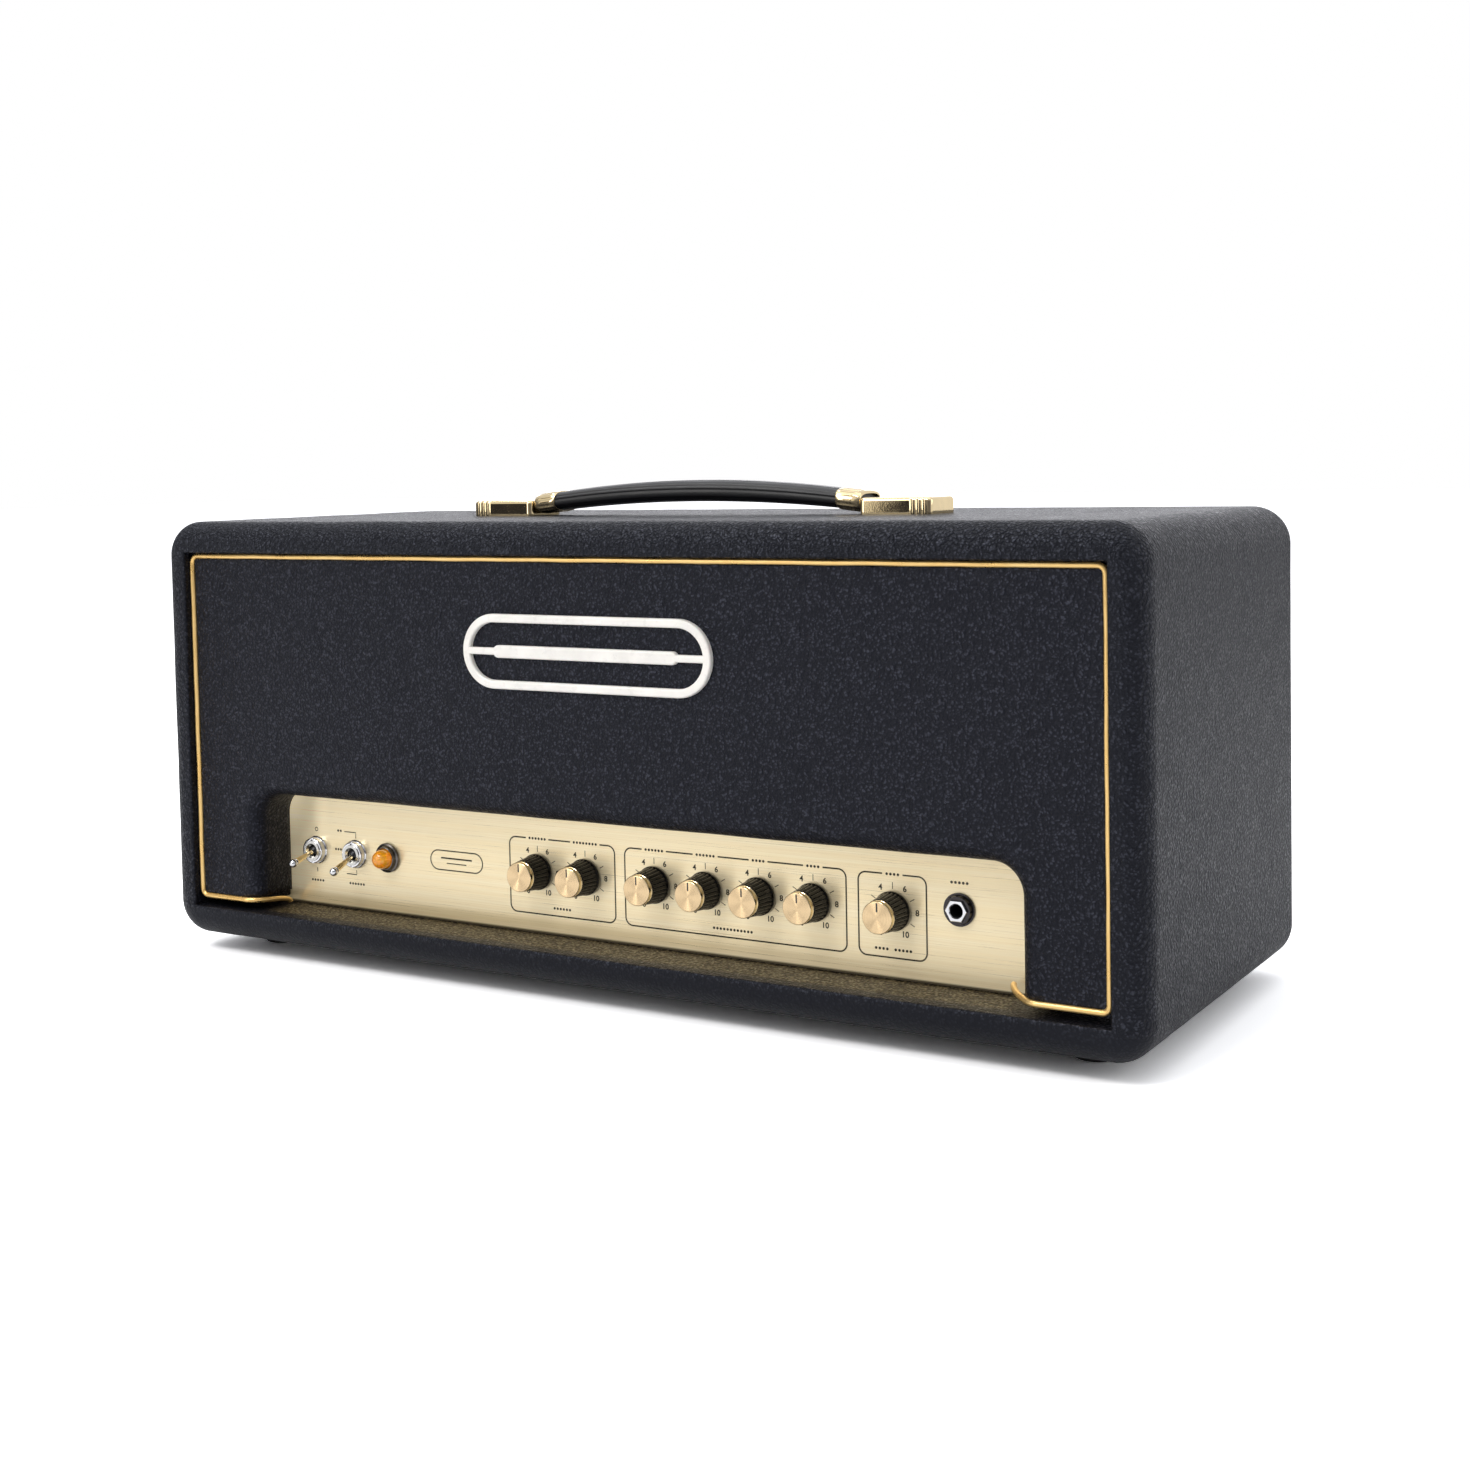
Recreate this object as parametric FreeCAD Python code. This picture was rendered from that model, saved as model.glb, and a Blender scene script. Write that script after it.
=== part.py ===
import FreeCAD, Part
import os
from math import cos, pi, radians, sin, sqrt, tan

# A valve guitar amplifier head: covered plywood cabinet, baffle, chassis with controls, handle.
# Build frame: x across (centred), y from the front plane (0) to the rear, z up from the
# cabinet's underside. The files are shifted so that the depth is centred on y = 0 and the
# feet stand on z = 0. Millimetres.

os.makedirs("parts", exist_ok=True)
Vec = FreeCAD.Vector
Y_AXIS = Vec(0, 1, 0)
Z_AXIS = Vec(0, 0, 1)
SIDES = (-1, 1)              # left (-x), right (+x)

# ---------------------------------------------------------------- shared sizes
GAP = 0.05                   # gaps that keep neighbouring parts apart
FINE_GAP = 0.02

WIDTH, DEPTH, HEIGHT = 604.0, 240.0, 245.0     # cabinet over the covering, no feet or handle
HALF_W = WIDTH / 2
FOOT_H = 10.0
SKIN = 1.0                   # vinyl covering thickness
PLY = 16.0                   # cabinet board thickness
BARE_IN = SKIN + PLY         # depth of the bare inner face
COVERED_IN = BARE_IN + SKIN  # depth of the covered inner face

BAF_Y0, BAF_Y1 = 5.5, 33.4   # baffle front and back faces
BAF_X = HALF_W - COVERED_IN - 0.2              # baffle half width
BAF_TOP = HEIGHT - COVERED_IN - 0.2
LEG_Z = 22.0                 # underside of the baffle's two legs
CUT_X, CUT_Z = 237.8, 86.3   # control opening half width and top
CUT_ROUND = 10.0             # roundover on the opening's front edge

PANEL_Y, PANEL_T = 33.6, 1.6                   # control panel front face and thickness
CH_T = 1.5                   # chassis sheet
CH_Y0 = PANEL_Y + PANEL_T + GAP                # front wall, outer face
CH_Y1 = 221.5                # rear wall, outer face
FRONT_IN = CH_Y0 + CH_T      # inner faces of those walls
REAR_IN = CH_Y1 - CH_T
CH_X = 246.0                 # chassis half width
CH_Z0 = COVERED_IN + 0.1
CH_Z1 = 92.0                 # chassis deck, upper face
DECK_IN = CH_Z1 - CH_T

KNOB_Z = 52.45
KNOBS = {"master": -55.8, "presence": -24.0, "treble": 20.4, "middle": 52.2,
         "bass": 84.0, "tilt": 115.8, "gain": 160.2}
SWITCH_Z = 51.0
SWITCHES = {"power": (-217.0, 14.0), "output": (-186.7, 21.5)}    # x, lever degrees below level
LAMP_X, LAMP_Z = -162.5, 50.9
JACK_X, JACK_Z = 196.1, 56.7
REAR_JACKS = [205.0, 172.0, 139.0, 98.0, 55.0, 24.0, -7.0, -38.0, -69.0]
REAR_Z = 54.0                # centre height of everything on the rear wall
INLET_X, FUSE_X = -198.0, -128.0
INLET_SCREWS = [INLET_X - 20, INLET_X + 20]

# (x, y) places of vertical fixings
FEET = [(x, y) for y in (48.0, DEPTH - 48.0) for x in (-259.0, 259.0)]
BOLTS = [(x, y) for y in (52.0, 196.0) for x in (-228.0, 228.0)]
STANDOFFS = [(-30.0, 62.0), (222.0, 62.0), (-30.0, 190.0), (222.0, 190.0), (80.0, 190.0)]
HANDLE_Y = 120.0
HANDLE_SCREWS = [(side * 144.3, HANDLE_Y + dy) for side in SIDES for dy in (-7.5, 7.5)]

# deck layout
MAINS_CORE = (-232.0, -142.0, 78.0, 152.0)     # transformer footprints: x0, x1, y0, y1
OUTPUT_CORE = (-118.0, -48.0, 84.0, 142.0)
POWER_VALVES = [(-4.0, 110.0), (48.0, 110.0)]
PREAMP_VALVES = [(104.0, 112.0), (152.0, 112.0), (200.0, 112.0)]
MAINS_LEAD, OUTPUT_LEAD = (-134.0, 168.0), (-82.0, 165.0)         # cable holes
PCB_Z0, PCB_Z1 = 70.4, 72.0


# ---------------------------------------------------------------- helpers
def box(x0, x1, y0, y1, z0, z1):
    return Part.makeBox(x1 - x0, y1 - y0, z1 - z0, Vec(x0, y0, z0))


def rod(radius, start, end):
    along = end - start
    return Part.makeCylinder(radius, along.Length, start, along)


def cyl_y(radius, x, z, y0, y1):
    return Part.makeCylinder(radius, y1 - y0, Vec(x, y0, z), Y_AXIS)


def cyl_z(radius, x, y, z0, z1):
    return Part.makeCylinder(radius, z1 - z0, Vec(x, y, z0), Z_AXIS)


def hex_y(across_flats, x, z, y0, y1):
    radius = across_flats / sqrt(3)
    angles = [pi / 6 + i * pi / 3 for i in range(6)]
    corners = [Vec(x + radius * cos(a), y0, z + radius * sin(a)) for a in angles]
    return polygon_face(corners).extrude(Vec(0, y1 - y0, 0))


def hex_z(across_flats, x, y, z0, z1):
    radius = across_flats / sqrt(3)
    angles = [i * pi / 3 for i in range(6)]
    corners = [Vec(x + radius * cos(a), y + radius * sin(a), z0) for a in angles]
    return polygon_face(corners).extrude(Vec(0, 0, z1 - z0))


def polygon_face(points):
    return Part.Face(Part.makePolygon(points + [points[0]]))


def revolved(profile, axis):
    """Full turn of (radius, place along the axis) points about the Y or Z axis."""
    face = polygon_face([Vec(radius, 0, 0) + axis * place for radius, place in profile])
    return face.revolve(Vec(0, 0, 0), axis, 360)


def swept(edges, start, heading, radius):
    """Round section carried along the joined edges."""
    section = Part.Wire([Part.Circle(start, heading, radius).toShape()])
    return Part.Wire(edges).makePipeShell([section], True, True)


def arc(start, middle, end):
    return Part.Arc(start, middle, end).toShape()


def fuse(shapes):
    return shapes[0].multiFuse(shapes[1:]).removeSplitter()


def cut_all(shape, tools):
    """Cut with all the tools in one operation."""
    return shape.cut(Part.makeCompound(tools))


def cut_each(shape, tools):
    """Cut with one tool after another."""
    for tool in tools:
        shape = shape.cut(tool)
    return shape


def round_edges(shape, radius, keep):
    return shape.makeFillet(radius, [e for e in shape.Edges if keep(e)])


def along(edge, axis):
    """Straight edge parallel to axis "x", "y" or "z"."""
    if edge.Curve.TypeId != "Part::GeomLine":
        return False
    return abs(getattr(edge.Curve.Direction, axis)) > 0.999


def in_plane(edge, axis, level):
    """Edge wholly at this level of axis "X", "Y" or "Z"."""
    bounds = edge.BoundBox
    low, high = getattr(bounds, axis + "Min"), getattr(bounds, axis + "Max")
    return abs(low - level) < 1e-4 and abs(high - level) < 1e-4


def circles_at(shape, y, above=0.0):
    """Circular edges in the plane y, larger in radius than above."""
    return [e for e in shape.Edges if in_plane(e, "Y", y)
            and e.Curve.TypeId == "Part::GeomCircle" and e.Curve.Radius > above]


def rounded_box(x0, x1, y0, y1, z0, z1, radius, axis):
    return round_edges(box(x0, x1, y0, y1, z0, z1), radius, lambda e: along(e, axis))


def side_span(side, inner, outer):
    """Low and high x of a range given outwards from the middle, on either side."""
    return (inner, outer) if side > 0 else (-outer, -inner)


def ring_places(x, z, radius, count):
    angles = [2 * pi * i / count for i in range(count)]
    return [(x + radius * cos(a), z + radius * sin(a)) for a in angles]


def fixing_places(core):
    """The four (x, y) fixings of a transformer frame."""
    x0, x1, y0, y1 = core
    return [(x, y) for x in (x0 + 8, x1 - 8) for y in (y0 - 9, y1 + 9)]


def emit(name, shapes):
    """Write one piece, moved from the build frame to its final place."""
    if not isinstance(shapes, (list, tuple)):
        shapes = [shapes]
    solids = [solid for shape in shapes for solid in shape.Solids]
    piece = solids[0] if len(solids) == 1 else Part.makeCompound(solids)
    piece = piece.copy()
    piece.translate(Vec(0, -DEPTH / 2, FOOT_H))
    piece.exportStep("parts/%s.step" % name)


# ---------------------------------------------------------------- cabinet shell
R_CORNER = 20.0              # the four long corners
R_FRONT, R_REAR = 13.5, 12.5                   # roundovers
WRAP_FRONT, WRAP_REAR = 60.0, 26.0             # how far the covering runs inside
FINGERS = 12                 # finger joint pitches over the depth


def shell_solid(inset):
    """The cabinet's outer form, offset inwards."""
    form = box(-HALF_W + inset, HALF_W - inset, inset, DEPTH - inset, inset, HEIGHT - inset)
    form = round_edges(form, R_CORNER - inset, lambda e: along(e, "y"))
    form = round_edges(form, R_FRONT - inset, lambda e: in_plane(e, "Y", inset))
    return round_edges(form, R_REAR - inset, lambda e: in_plane(e, "Y", DEPTH - inset))


def hollow_box(wall, y0, y1):
    return box(-HALF_W + wall, HALF_W - wall, y0, y1, wall, HEIGHT - wall)


def inner_front(edge):
    """Front rim of the opening."""
    bounds, margin = edge.BoundBox, 17
    return (in_plane(edge, "Y", 0.0)
            and abs(bounds.XMin) < HALF_W - margin and abs(bounds.XMax) < HALF_W - margin
            and bounds.ZMin > margin and bounds.ZMax < HEIGHT - margin)


def side_mask(side):
    """Region of one side board, which owns every second finger in the corners."""
    span = side_span(side, HALF_W - BARE_IN, HALF_W + 1)
    parts = [box(*span, -1, DEPTH + 1, BARE_IN, HEIGHT - BARE_IN)]
    for i in range(0, FINGERS, 2):
        y0 = DEPTH * i / FINGERS if i else -1
        y1 = DEPTH * (i + 1) / FINGERS
        parts.append(box(*span, y0, y1, -1, BARE_IN))
        parts.append(box(*span, y0, y1, HEIGHT - BARE_IN, HEIGHT + 1))
    return fuse(parts)


def build_cabinet():
    carcass = shell_solid(SKIN).cut(hollow_box(BARE_IN, -5, DEPTH + 5))
    full = shell_solid(0.0).cut(hollow_box(COVERED_IN, -5, DEPTH + 5))
    full = round_edges(full, 1.5, inner_front)
    covering = full.cut(carcass).cut(hollow_box(BARE_IN, WRAP_FRONT, DEPTH - WRAP_REAR))

    bores = [cyl_z(2.0, x, y, -1, 14.5) for x, y in FEET]
    bores += [cyl_z(2.8, x, y, -1, 20) for x, y in BOLTS]
    bores += [cyl_z(2.2, x, y, HEIGHT - 16, HEIGHT + 1) for x, y in HANDLE_SCREWS]
    carcass = cut_all(carcass, bores)
    emit("cabinet_covering", cut_all(covering, bores))

    left, right = side_mask(-1), side_mask(1)
    emit("board_left", carcass.common(left))
    emit("board_right", carcass.common(right))
    rest = carcass.cut(left).cut(right)
    for name, z0, z1 in (("bottom", -5, HEIGHT / 2), ("top", HEIGHT / 2, HEIGHT + 5)):
        emit("board_" + name, rest.common(box(-WIDTH, WIDTH, -5, DEPTH + 5, z0, z1)))


build_cabinet()

# ---------------------------------------------------------------- baffle
CUT_R = 15.0                 # control opening corner radius
REBATE = 3.6                 # width of the piping rebate
REBATE_DEPTH = 1.7


def leg_plan(inset, side, z0, z1):
    """Prism of a leg's plan with its rounded inner front corner, offset inwards."""
    x0, x1 = CUT_X + inset, BAF_X + 5
    y0, y1 = BAF_Y0 + inset, BAF_Y1
    radius = CUT_ROUND - inset
    bulge = radius - radius * sqrt(0.5)
    inner_back, arc_start = Vec(x0, y1, 0), Vec(x0, y0 + radius, 0)
    arc_end = Vec(x0 + radius, y0, 0)
    outer_front, outer_back = Vec(x1, y0, 0), Vec(x1, y1, 0)
    outline = Part.Wire([
        Part.makeLine(inner_back, arc_start),
        arc(arc_start, Vec(x0 + bulge, y0 + bulge, 0), arc_end),
        Part.makeLine(arc_end, outer_front),
        Part.makeLine(outer_front, outer_back),
        Part.makeLine(outer_back, inner_back)])
    leg = Part.Face(outline).extrude(Vec(0, 0, z1 - z0))
    leg.translate(Vec(0, 0, z0))
    return leg if side > 0 else leg.mirror(Vec(0, 0, 0), Vec(1, 0, 0))


def baffle(inset):
    front = BAF_Y0 + inset
    cut_x, cut_z = CUT_X + inset, CUT_Z + inset
    board = box(-BAF_X + inset, BAF_X - inset, front, BAF_Y1, LEG_Z + inset, BAF_TOP - inset)
    opening = box(-cut_x, cut_x, 0, BAF_Y1 + 5, -5, cut_z)
    opening = round_edges(opening, CUT_R + inset,
                          lambda e: along(e, "y") and e.BoundBox.ZMin > 50)
    board = board.cut(opening)

    def lip(edge):
        """Front edge of the control opening, without the legs' undersides."""
        b = edge.BoundBox
        underside = abs(b.ZMax - b.ZMin) < 1e-6 and b.ZMin < 40
        return (in_plane(edge, "Y", front) and b.XMin > -cut_x - 1 and b.XMax < cut_x + 1
                and b.ZMax < cut_z + 1 and not underside)

    board = round_edges(board, CUT_ROUND - inset, lip)
    # rebate for the piping: both sides and top of the front, then round under each leg
    floor = front + REBATE_DEPTH
    width = REBATE + inset
    for side in SIDES:
        board = board.cut(box(*side_span(side, BAF_X - width, BAF_X + 2), 0, floor, 0, HEIGHT))
    board = board.cut(box(-BAF_X - 2, BAF_X + 2, 0, floor, BAF_TOP - width, HEIGHT))
    for side in SIDES:
        z0, z1 = LEG_Z - 2, LEG_Z + width
        block = box(*side_span(side, CUT_X - 3, BAF_X + 3), 0, BAF_Y1 + 1, z0, z1)
        board = board.cut(block.cut(leg_plan(REBATE_DEPTH + inset, side, z0 - 1, z1 + 1)))
    return board


def cleat_screw_places(low_z):
    """(x, z) of the screws: two up each side, two along the top."""
    sides = [(x, z) for x in (-275.5, 275.5) for z in (low_z, 200.0)]
    return sides + [(-120.0, 218.0), (120.0, 218.0)]


BAFFLE_SCREWS = cleat_screw_places(120.0)
BACK_SCREWS = cleat_screw_places(104.0)

baffle_core = baffle(SKIN)
emit("baffle_covering", baffle(0.0).cut(baffle_core))
emit("baffle_core", cut_all(baffle_core, [cyl_y(2.0, x, z, 20.9, 40) for x, z in BAFFLE_SCREWS]))

# ---------------------------------------------------------------- piping
BEAD_R = 1.6
BEAD_Y = 5.4                 # centre line of the bead across the front
BEAD_INSET = 1.7             # centre line inside the baffle's outline
BEAD_BEND = 2.2              # bend radius at the four corners


def piping():
    """Bead up one side, over the top and down the other, each end tucked in round a leg."""
    edge_x = BAF_X - BEAD_INSET
    low, high = LEG_Z + BEAD_INSET, BAF_TOP - BEAD_INSET
    leg_x, leg_y = CUT_X + CUT_ROUND, BAF_Y0 + CUT_ROUND     # centre of a leg's rounded corner
    turn = leg_y - BEAD_Y

    def round_leg(side, angle):
        return Vec(side * (leg_x - turn * sin(angle)), leg_y - turn * cos(angle), low)

    left, right = radians(55), radians(40)     # how far the bead follows each rounding
    start, heading = Vec(-235.0, 33.0, 21.9), Vec(0, -1, 0.03)
    tail = Part.BSplineCurve()
    tail.interpolate([start, Vec(-235.0, 25.0, 22.3), Vec(-236.0, 17.0, 23.1),
                      round_leg(-1, left)],
                     InitialTangent=heading, FinalTangent=Vec(-cos(left), -sin(left), 0))
    place = Vec(-leg_x, BEAD_Y, low)
    edges = [tail.toShape(), arc(round_leg(-1, left), round_leg(-1, left / 2), place)]

    corners = [(-edge_x, low), (-edge_x, high), (edge_x, high), (edge_x, low)]
    headings = [Vec(-1, 0, 0), Vec(0, 0, 1), Vec(1, 0, 0), Vec(0, 0, -1), Vec(-1, 0, 0)]
    bulge = BEAD_BEND * (1 - sqrt(0.5))
    for i, (x, z) in enumerate(corners):
        corner, into, out = Vec(x, BEAD_Y, z), headings[i], headings[i + 1]
        bend_start, bend_end = corner - into * BEAD_BEND, corner + out * BEAD_BEND
        edges.append(Part.makeLine(place, bend_start))
        edges.append(arc(bend_start, corner + (out - into) * bulge, bend_end))
        place = bend_end

    right_front = Vec(leg_x, BEAD_Y, low)
    edges.append(Part.makeLine(place, right_front))
    edges.append(arc(right_front, round_leg(1, right / 2), round_leg(1, right)))
    tail = Part.BSplineCurve()
    tail.interpolate([round_leg(1, right), Vec(234.2, 13.4, low + 0.4),
                      Vec(229.5, 19.5, low + 1.0), Vec(226.6, 27.0, low + 1.6)],
                     InitialTangent=Vec(-cos(right), sin(right), 0),
                     FinalTangent=Vec(-0.25, 0.95, 0.06))
    edges.append(tail.toShape())
    return swept(edges, start, heading, BEAD_R)


emit("piping", piping())

# ---------------------------------------------------------------- blank name badge
BADGE_X, BADGE_Z = -1.2, 176.0
BADGE_Y0 = 2.5


def stadium(half_w, half_h, y0, y1):
    """Round-ended bar lying across the badge."""
    end = half_w - half_h
    return fuse([box(BADGE_X - end, BADGE_X + end, y0, y1, BADGE_Z - half_h, BADGE_Z + half_h),
                 cyl_y(half_h, BADGE_X - end, BADGE_Z, y0, y1),
                 cyl_y(half_h, BADGE_X + end, BADGE_Z, y0, y1)])


def badge():
    """Round-ended frame with a central bar joined to it by two arms."""
    def on_front(edge):
        return in_plane(edge, "Y", BADGE_Y0)

    frame = stadium(78, 20, BADGE_Y0, BAF_Y0)
    frame = frame.cut(stadium(73.4, 15.4, BADGE_Y0 - 1, BAF_Y0 + 1))
    parts = [round_edges(frame, 1.1, on_front),
             round_edges(stadium(58, 3.4, BADGE_Y0, BAF_Y0), 1.1, on_front)]
    for x in (BADGE_X - 74, BADGE_X + 57):
        arm = box(x, x + 17, BADGE_Y0, BAF_Y0, BADGE_Z - 1.9, BADGE_Z + 1.9)
        parts.append(round_edges(arm, 1.1, lambda e: on_front(e) and along(e, "x")))
    return fuse(parts)


emit("badge", badge())

# ---------------------------------------------------------------- cleats, back panel, grille
CLEATS_Y = [(BAF_Y1 + GAP, 51.5), (196.0, 213.9)]      # behind the baffle, before the back panel
BACK_Y0, BACK_Y1 = 214.0, 226.0
GRILLE_Y0, GRILLE_Y1 = BACK_Y1 + GAP, 227.25
GRILLE_SCREWS = [(x, z) for x in (-158.0, 0.0, 158.0) for z in (115.0, 205.0)]
SLOT_R = 2.4

cleats = [box(*side_span(side, 266.0, HALF_W - COVERED_IN), y0, y1, 97.0, 208.0)
          for side in SIDES for y0, y1 in CLEATS_Y]
cleats += [box(-200.0, 200.0, y0, y1, 210.0, HEIGHT - COVERED_IN) for y0, y1 in CLEATS_Y]
front_bores = [cyl_y(2.0, x, z, 20, 60) for x, z in BAFFLE_SCREWS]
rear_bores = [cyl_y(2.0, x, z, 190, 240) for x, z in BACK_SCREWS]
emit("cleats", [cut_all(cleat, front_bores + rear_bores) for cleat in cleats])

back = box(-BAF_X, BAF_X, BACK_Y0, BACK_Y1, 94.0, BAF_TOP)
back = back.cut(rounded_box(-150, 150, 210, 230, 122, 198, 8, "y"))
back = cut_all(back, rear_bores)
back = cut_all(back, [cyl_y(1.3, x, z, 215.9, 230) for x, z in GRILLE_SCREWS])
emit("back_panel", back)


def grille_slot(x, z0, z1):
    z0, z1 = z0 + SLOT_R, z1 - SLOT_R
    return fuse([box(x - SLOT_R, x + SLOT_R, 220, 232, z0, z1),
                 cyl_y(SLOT_R, x, z0, 220, 232), cyl_y(SLOT_R, x, z1, 220, 232)])


grille = rounded_box(-165, 165, GRILLE_Y0, GRILLE_Y1, 108, 212, 6, "y")
openings = [grille_slot(-145 + i * 10.0, z0, z1)
            for i in range(30) for z0, z1 in ((126, 158), (162, 194))]
openings += [cyl_y(1.5, x, z, 220, 232) for x, z in GRILLE_SCREWS]
emit("back_grille", cut_all(grille, openings))


def cross(x, z, y0, y1, arm, half):
    """The two bars of a cross recess seen along Y."""
    return [box(x - arm, x + arm, y0, y1, z - half, z + half),
            box(x - half, x + half, y0, y1, z - arm, z + arm)]


def wood_screw(x, z, seat):
    """Pan-head screw pointing forwards; the head's underside is at y = seat."""
    top, tip_start = seat + 2.4, Vec(x, seat - 25.5, z)
    head = cyl_y(3.9, x, z, seat, top)
    head = head.makeFillet(1.0, circles_at(head, top))
    head = cut_each(head, cross(x, z, seat + 1.2, seat + 3, 2.2, 0.45))
    tip = Part.makeCone(1.9, 0.3, 4.0, tip_start, -Y_AXIS)
    return fuse([head, rod(1.9, Vec(x, seat, z), tip_start), tip])


def small_screw(x, z, seat, recess, shank_r, shank_length):
    """Flat-headed screw pointing forwards; the recess floor is that far above the seat."""
    head = cyl_y(2.9, x, z, seat, seat + 1.7)
    head = cut_each(head, cross(x, z, seat + recess, seat + 3, 1.7, 0.35))
    return fuse([head, rod(shank_r, Vec(x, seat, z), Vec(x, seat - shank_length, z))])


wood_screws = [wood_screw(x, z, CLEATS_Y[0][1]) for x, z in BAFFLE_SCREWS]
wood_screws += [wood_screw(x, z, BACK_Y1) for x, z in BACK_SCREWS]
grille_screws = [small_screw(x, z, GRILLE_Y1, recess=0.8, shank_r=1.25, shank_length=9.0)
                 for x, z in GRILLE_SCREWS]

# ---------------------------------------------------------------- feet
SCREW_SEAT_Z = -5.0          # floor of the foot's counterbore


def foot(x, y):
    body = Part.makeCone(10.6, 12.2, FOOT_H, Vec(x, y, -FOOT_H), Z_AXIS)
    body = round_edges(body, 1.2, lambda e: in_plane(e, "Z", -FOOT_H))
    return cut_each(body, [cyl_z(5.2, x, y, -FOOT_H - 1, SCREW_SEAT_Z),
                           cyl_z(2.0, x, y, -FOOT_H - 1, 1)])


def foot_screw(x, y):
    head = cyl_z(4.4, x, y, -7.4, SCREW_SEAT_Z)
    head = cut_each(head, [box(x - 2.2, x + 2.2, y - 0.45, y + 0.45, -9, -6.2),
                           box(x - 0.45, x + 0.45, y - 2.2, y + 2.2, -9, -6.2)])
    return fuse([head, cyl_z(1.9, x, y, SCREW_SEAT_Z, 14.0)])


emit("feet", [foot(x, y) for x, y in FEET])
wood_screws += [foot_screw(x, y) for x, y in FEET]

# ---------------------------------------------------------------- chassis and control panel
control_holes = [cyl_y(3.6, x, KNOB_Z, 30, 40) for x in KNOBS.values()]
control_holes += [cyl_y(6.1, x, SWITCH_Z, 30, 40) for x, _ in SWITCHES.values()]
control_holes += [cyl_y(6.6, LAMP_X, LAMP_Z, 30, 40), cyl_y(5.0, JACK_X, JACK_Z, 30, 40)]


def deck_holes():
    holes = [cyl_z(14.2, x, y, 85, 95) for x, y in POWER_VALVES]
    holes += [cyl_z(11.2, x, y, 85, 95) for x, y in PREAMP_VALVES]
    holes += [cyl_z(6.2, x, y, 85, 95) for x, y in (MAINS_LEAD, OUTPUT_LEAD)]
    for core in (MAINS_CORE, OUTPUT_CORE):
        holes += [cyl_z(2.2, x, y, 85, 95) for x, y in fixing_places(core)]
    holes += [cyl_z(1.7, x, y, 85, 95) for x, y in STANDOFFS]
    # vent slots behind the valves
    holes += [box(x - 9, x + 9, y - 1.5, y + 1.5, 85, 95)
              for x in (-30, 22, 76, 128, 176) for y in (150, 158, 166)]
    return holes


def rear_wall_holes():
    holes = [cyl_y(5.0, x, REAR_Z, 215, 225) for x in REAR_JACKS]
    holes.append(rounded_box(INLET_X - 14.2, INLET_X + 14.2, 215, 225,
                             REAR_Z - 11.2, REAR_Z + 11.2, 2.0, "y"))
    holes.append(cyl_y(6.4, FUSE_X, REAR_Z, 215, 225))
    return holes + [cyl_y(1.7, x, REAR_Z, 215, 225) for x in INLET_SCREWS]


def chassis():
    """Tray open underneath, with a flange turned in along each side."""
    body = box(-CH_X, CH_X, CH_Y0, CH_Y1, CH_Z0, CH_Z1)
    body = round_edges(body, 2.0, lambda e: in_plane(e, "Z", CH_Z1) or along(e, "z"))
    body = body.cut(box(-CH_X + CH_T, CH_X - CH_T, FRONT_IN, REAR_IN, CH_Z0 - 1, DECK_IN))
    for side in SIDES:
        span = side_span(side, CH_X - 34, CH_X - CH_T + 0.2)
        body = body.fuse(box(*span, CH_Y0 + 3, CH_Y1 - 3, CH_Z0, CH_Z0 + CH_T))
    body = body.removeSplitter()
    bolt_holes = [cyl_z(2.8, x, y, 15, 25) for x, y in BOLTS]
    return cut_all(body, deck_holes() + bolt_holes + rear_wall_holes() + control_holes)


emit("chassis", chassis())
panel = box(-CH_X + 1, CH_X - 1, PANEL_Y, PANEL_Y + PANEL_T, CH_Z0 + 0.3, CH_Z1 - 0.5)
emit("front_panel", cut_all(panel, control_holes))

# bolts that hold the chassis to the bottom board, with washers and nuts
NUT_Z = CH_Z0 + CH_T
bolts_and_nuts = []
for x, y in BOLTS:
    bolts_and_nuts += [
        fuse([hex_z(8.0, x, y, -5.4, -1.4), cyl_z(2.5, x, y, -1.4, 25.0)]),
        cyl_z(7.5, x, y, -1.35, -GAP).cut(cyl_z(2.75, x, y, -3, 3)),
        hex_z(8.0, x, y, NUT_Z + FINE_GAP, NUT_Z + 4.0).cut(cyl_z(2.6, x, y, 15, 30))]

# ---------------------------------------------------------------- knobs and pots
KNOB_BASE_Y = PANEL_Y - 0.8
KNOB_FACE_Y = 18.0           # front of the knob body, behind its cap
FLUTES = 32


def knob_body(x):
    face, base = KNOB_FACE_Y, KNOB_BASE_Y
    # radius, y
    body = revolved([(0, face), (8.15, face), (8.45, face + 0.5), (9.25, base - 1.9),
                     (9.95, base - 1.2), (9.95, base), (0, base)], Y_AXIS)
    flutes = []
    for i in range(FLUTES):
        angle = 2 * pi * i / FLUTES
        ray = Vec(cos(angle), 0, sin(angle))
        flutes.append(rod(0.62, ray * 8.95 + Vec(0, face + 1.0, 0),
                          ray * 9.72 + Vec(0, base - 2.4, 0)))
    body = cut_all(body, flutes)
    body = body.cut(cyl_y(6.6, 0, 0, base - 3.4, base + 1))
    body = body.cut(cyl_y(3.0, 0, 0, 20.5, base + 1))
    body.translate(Vec(x, 0, KNOB_Z))
    return body


def knob_cap(x):
    """Disc on the knob's front with a pointer groove near the top."""
    cap = cyl_y(8.1, 0, 0, 16.0, KNOB_FACE_Y - GAP)
    cap = cap.makeChamfer(0.35, circles_at(cap, 16.0))
    cap = cap.cut(box(-0.5, 0.5, 15, 16.22, 3.3, 7.7))
    cap.translate(Vec(x, 0, KNOB_Z))
    return cap


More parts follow.
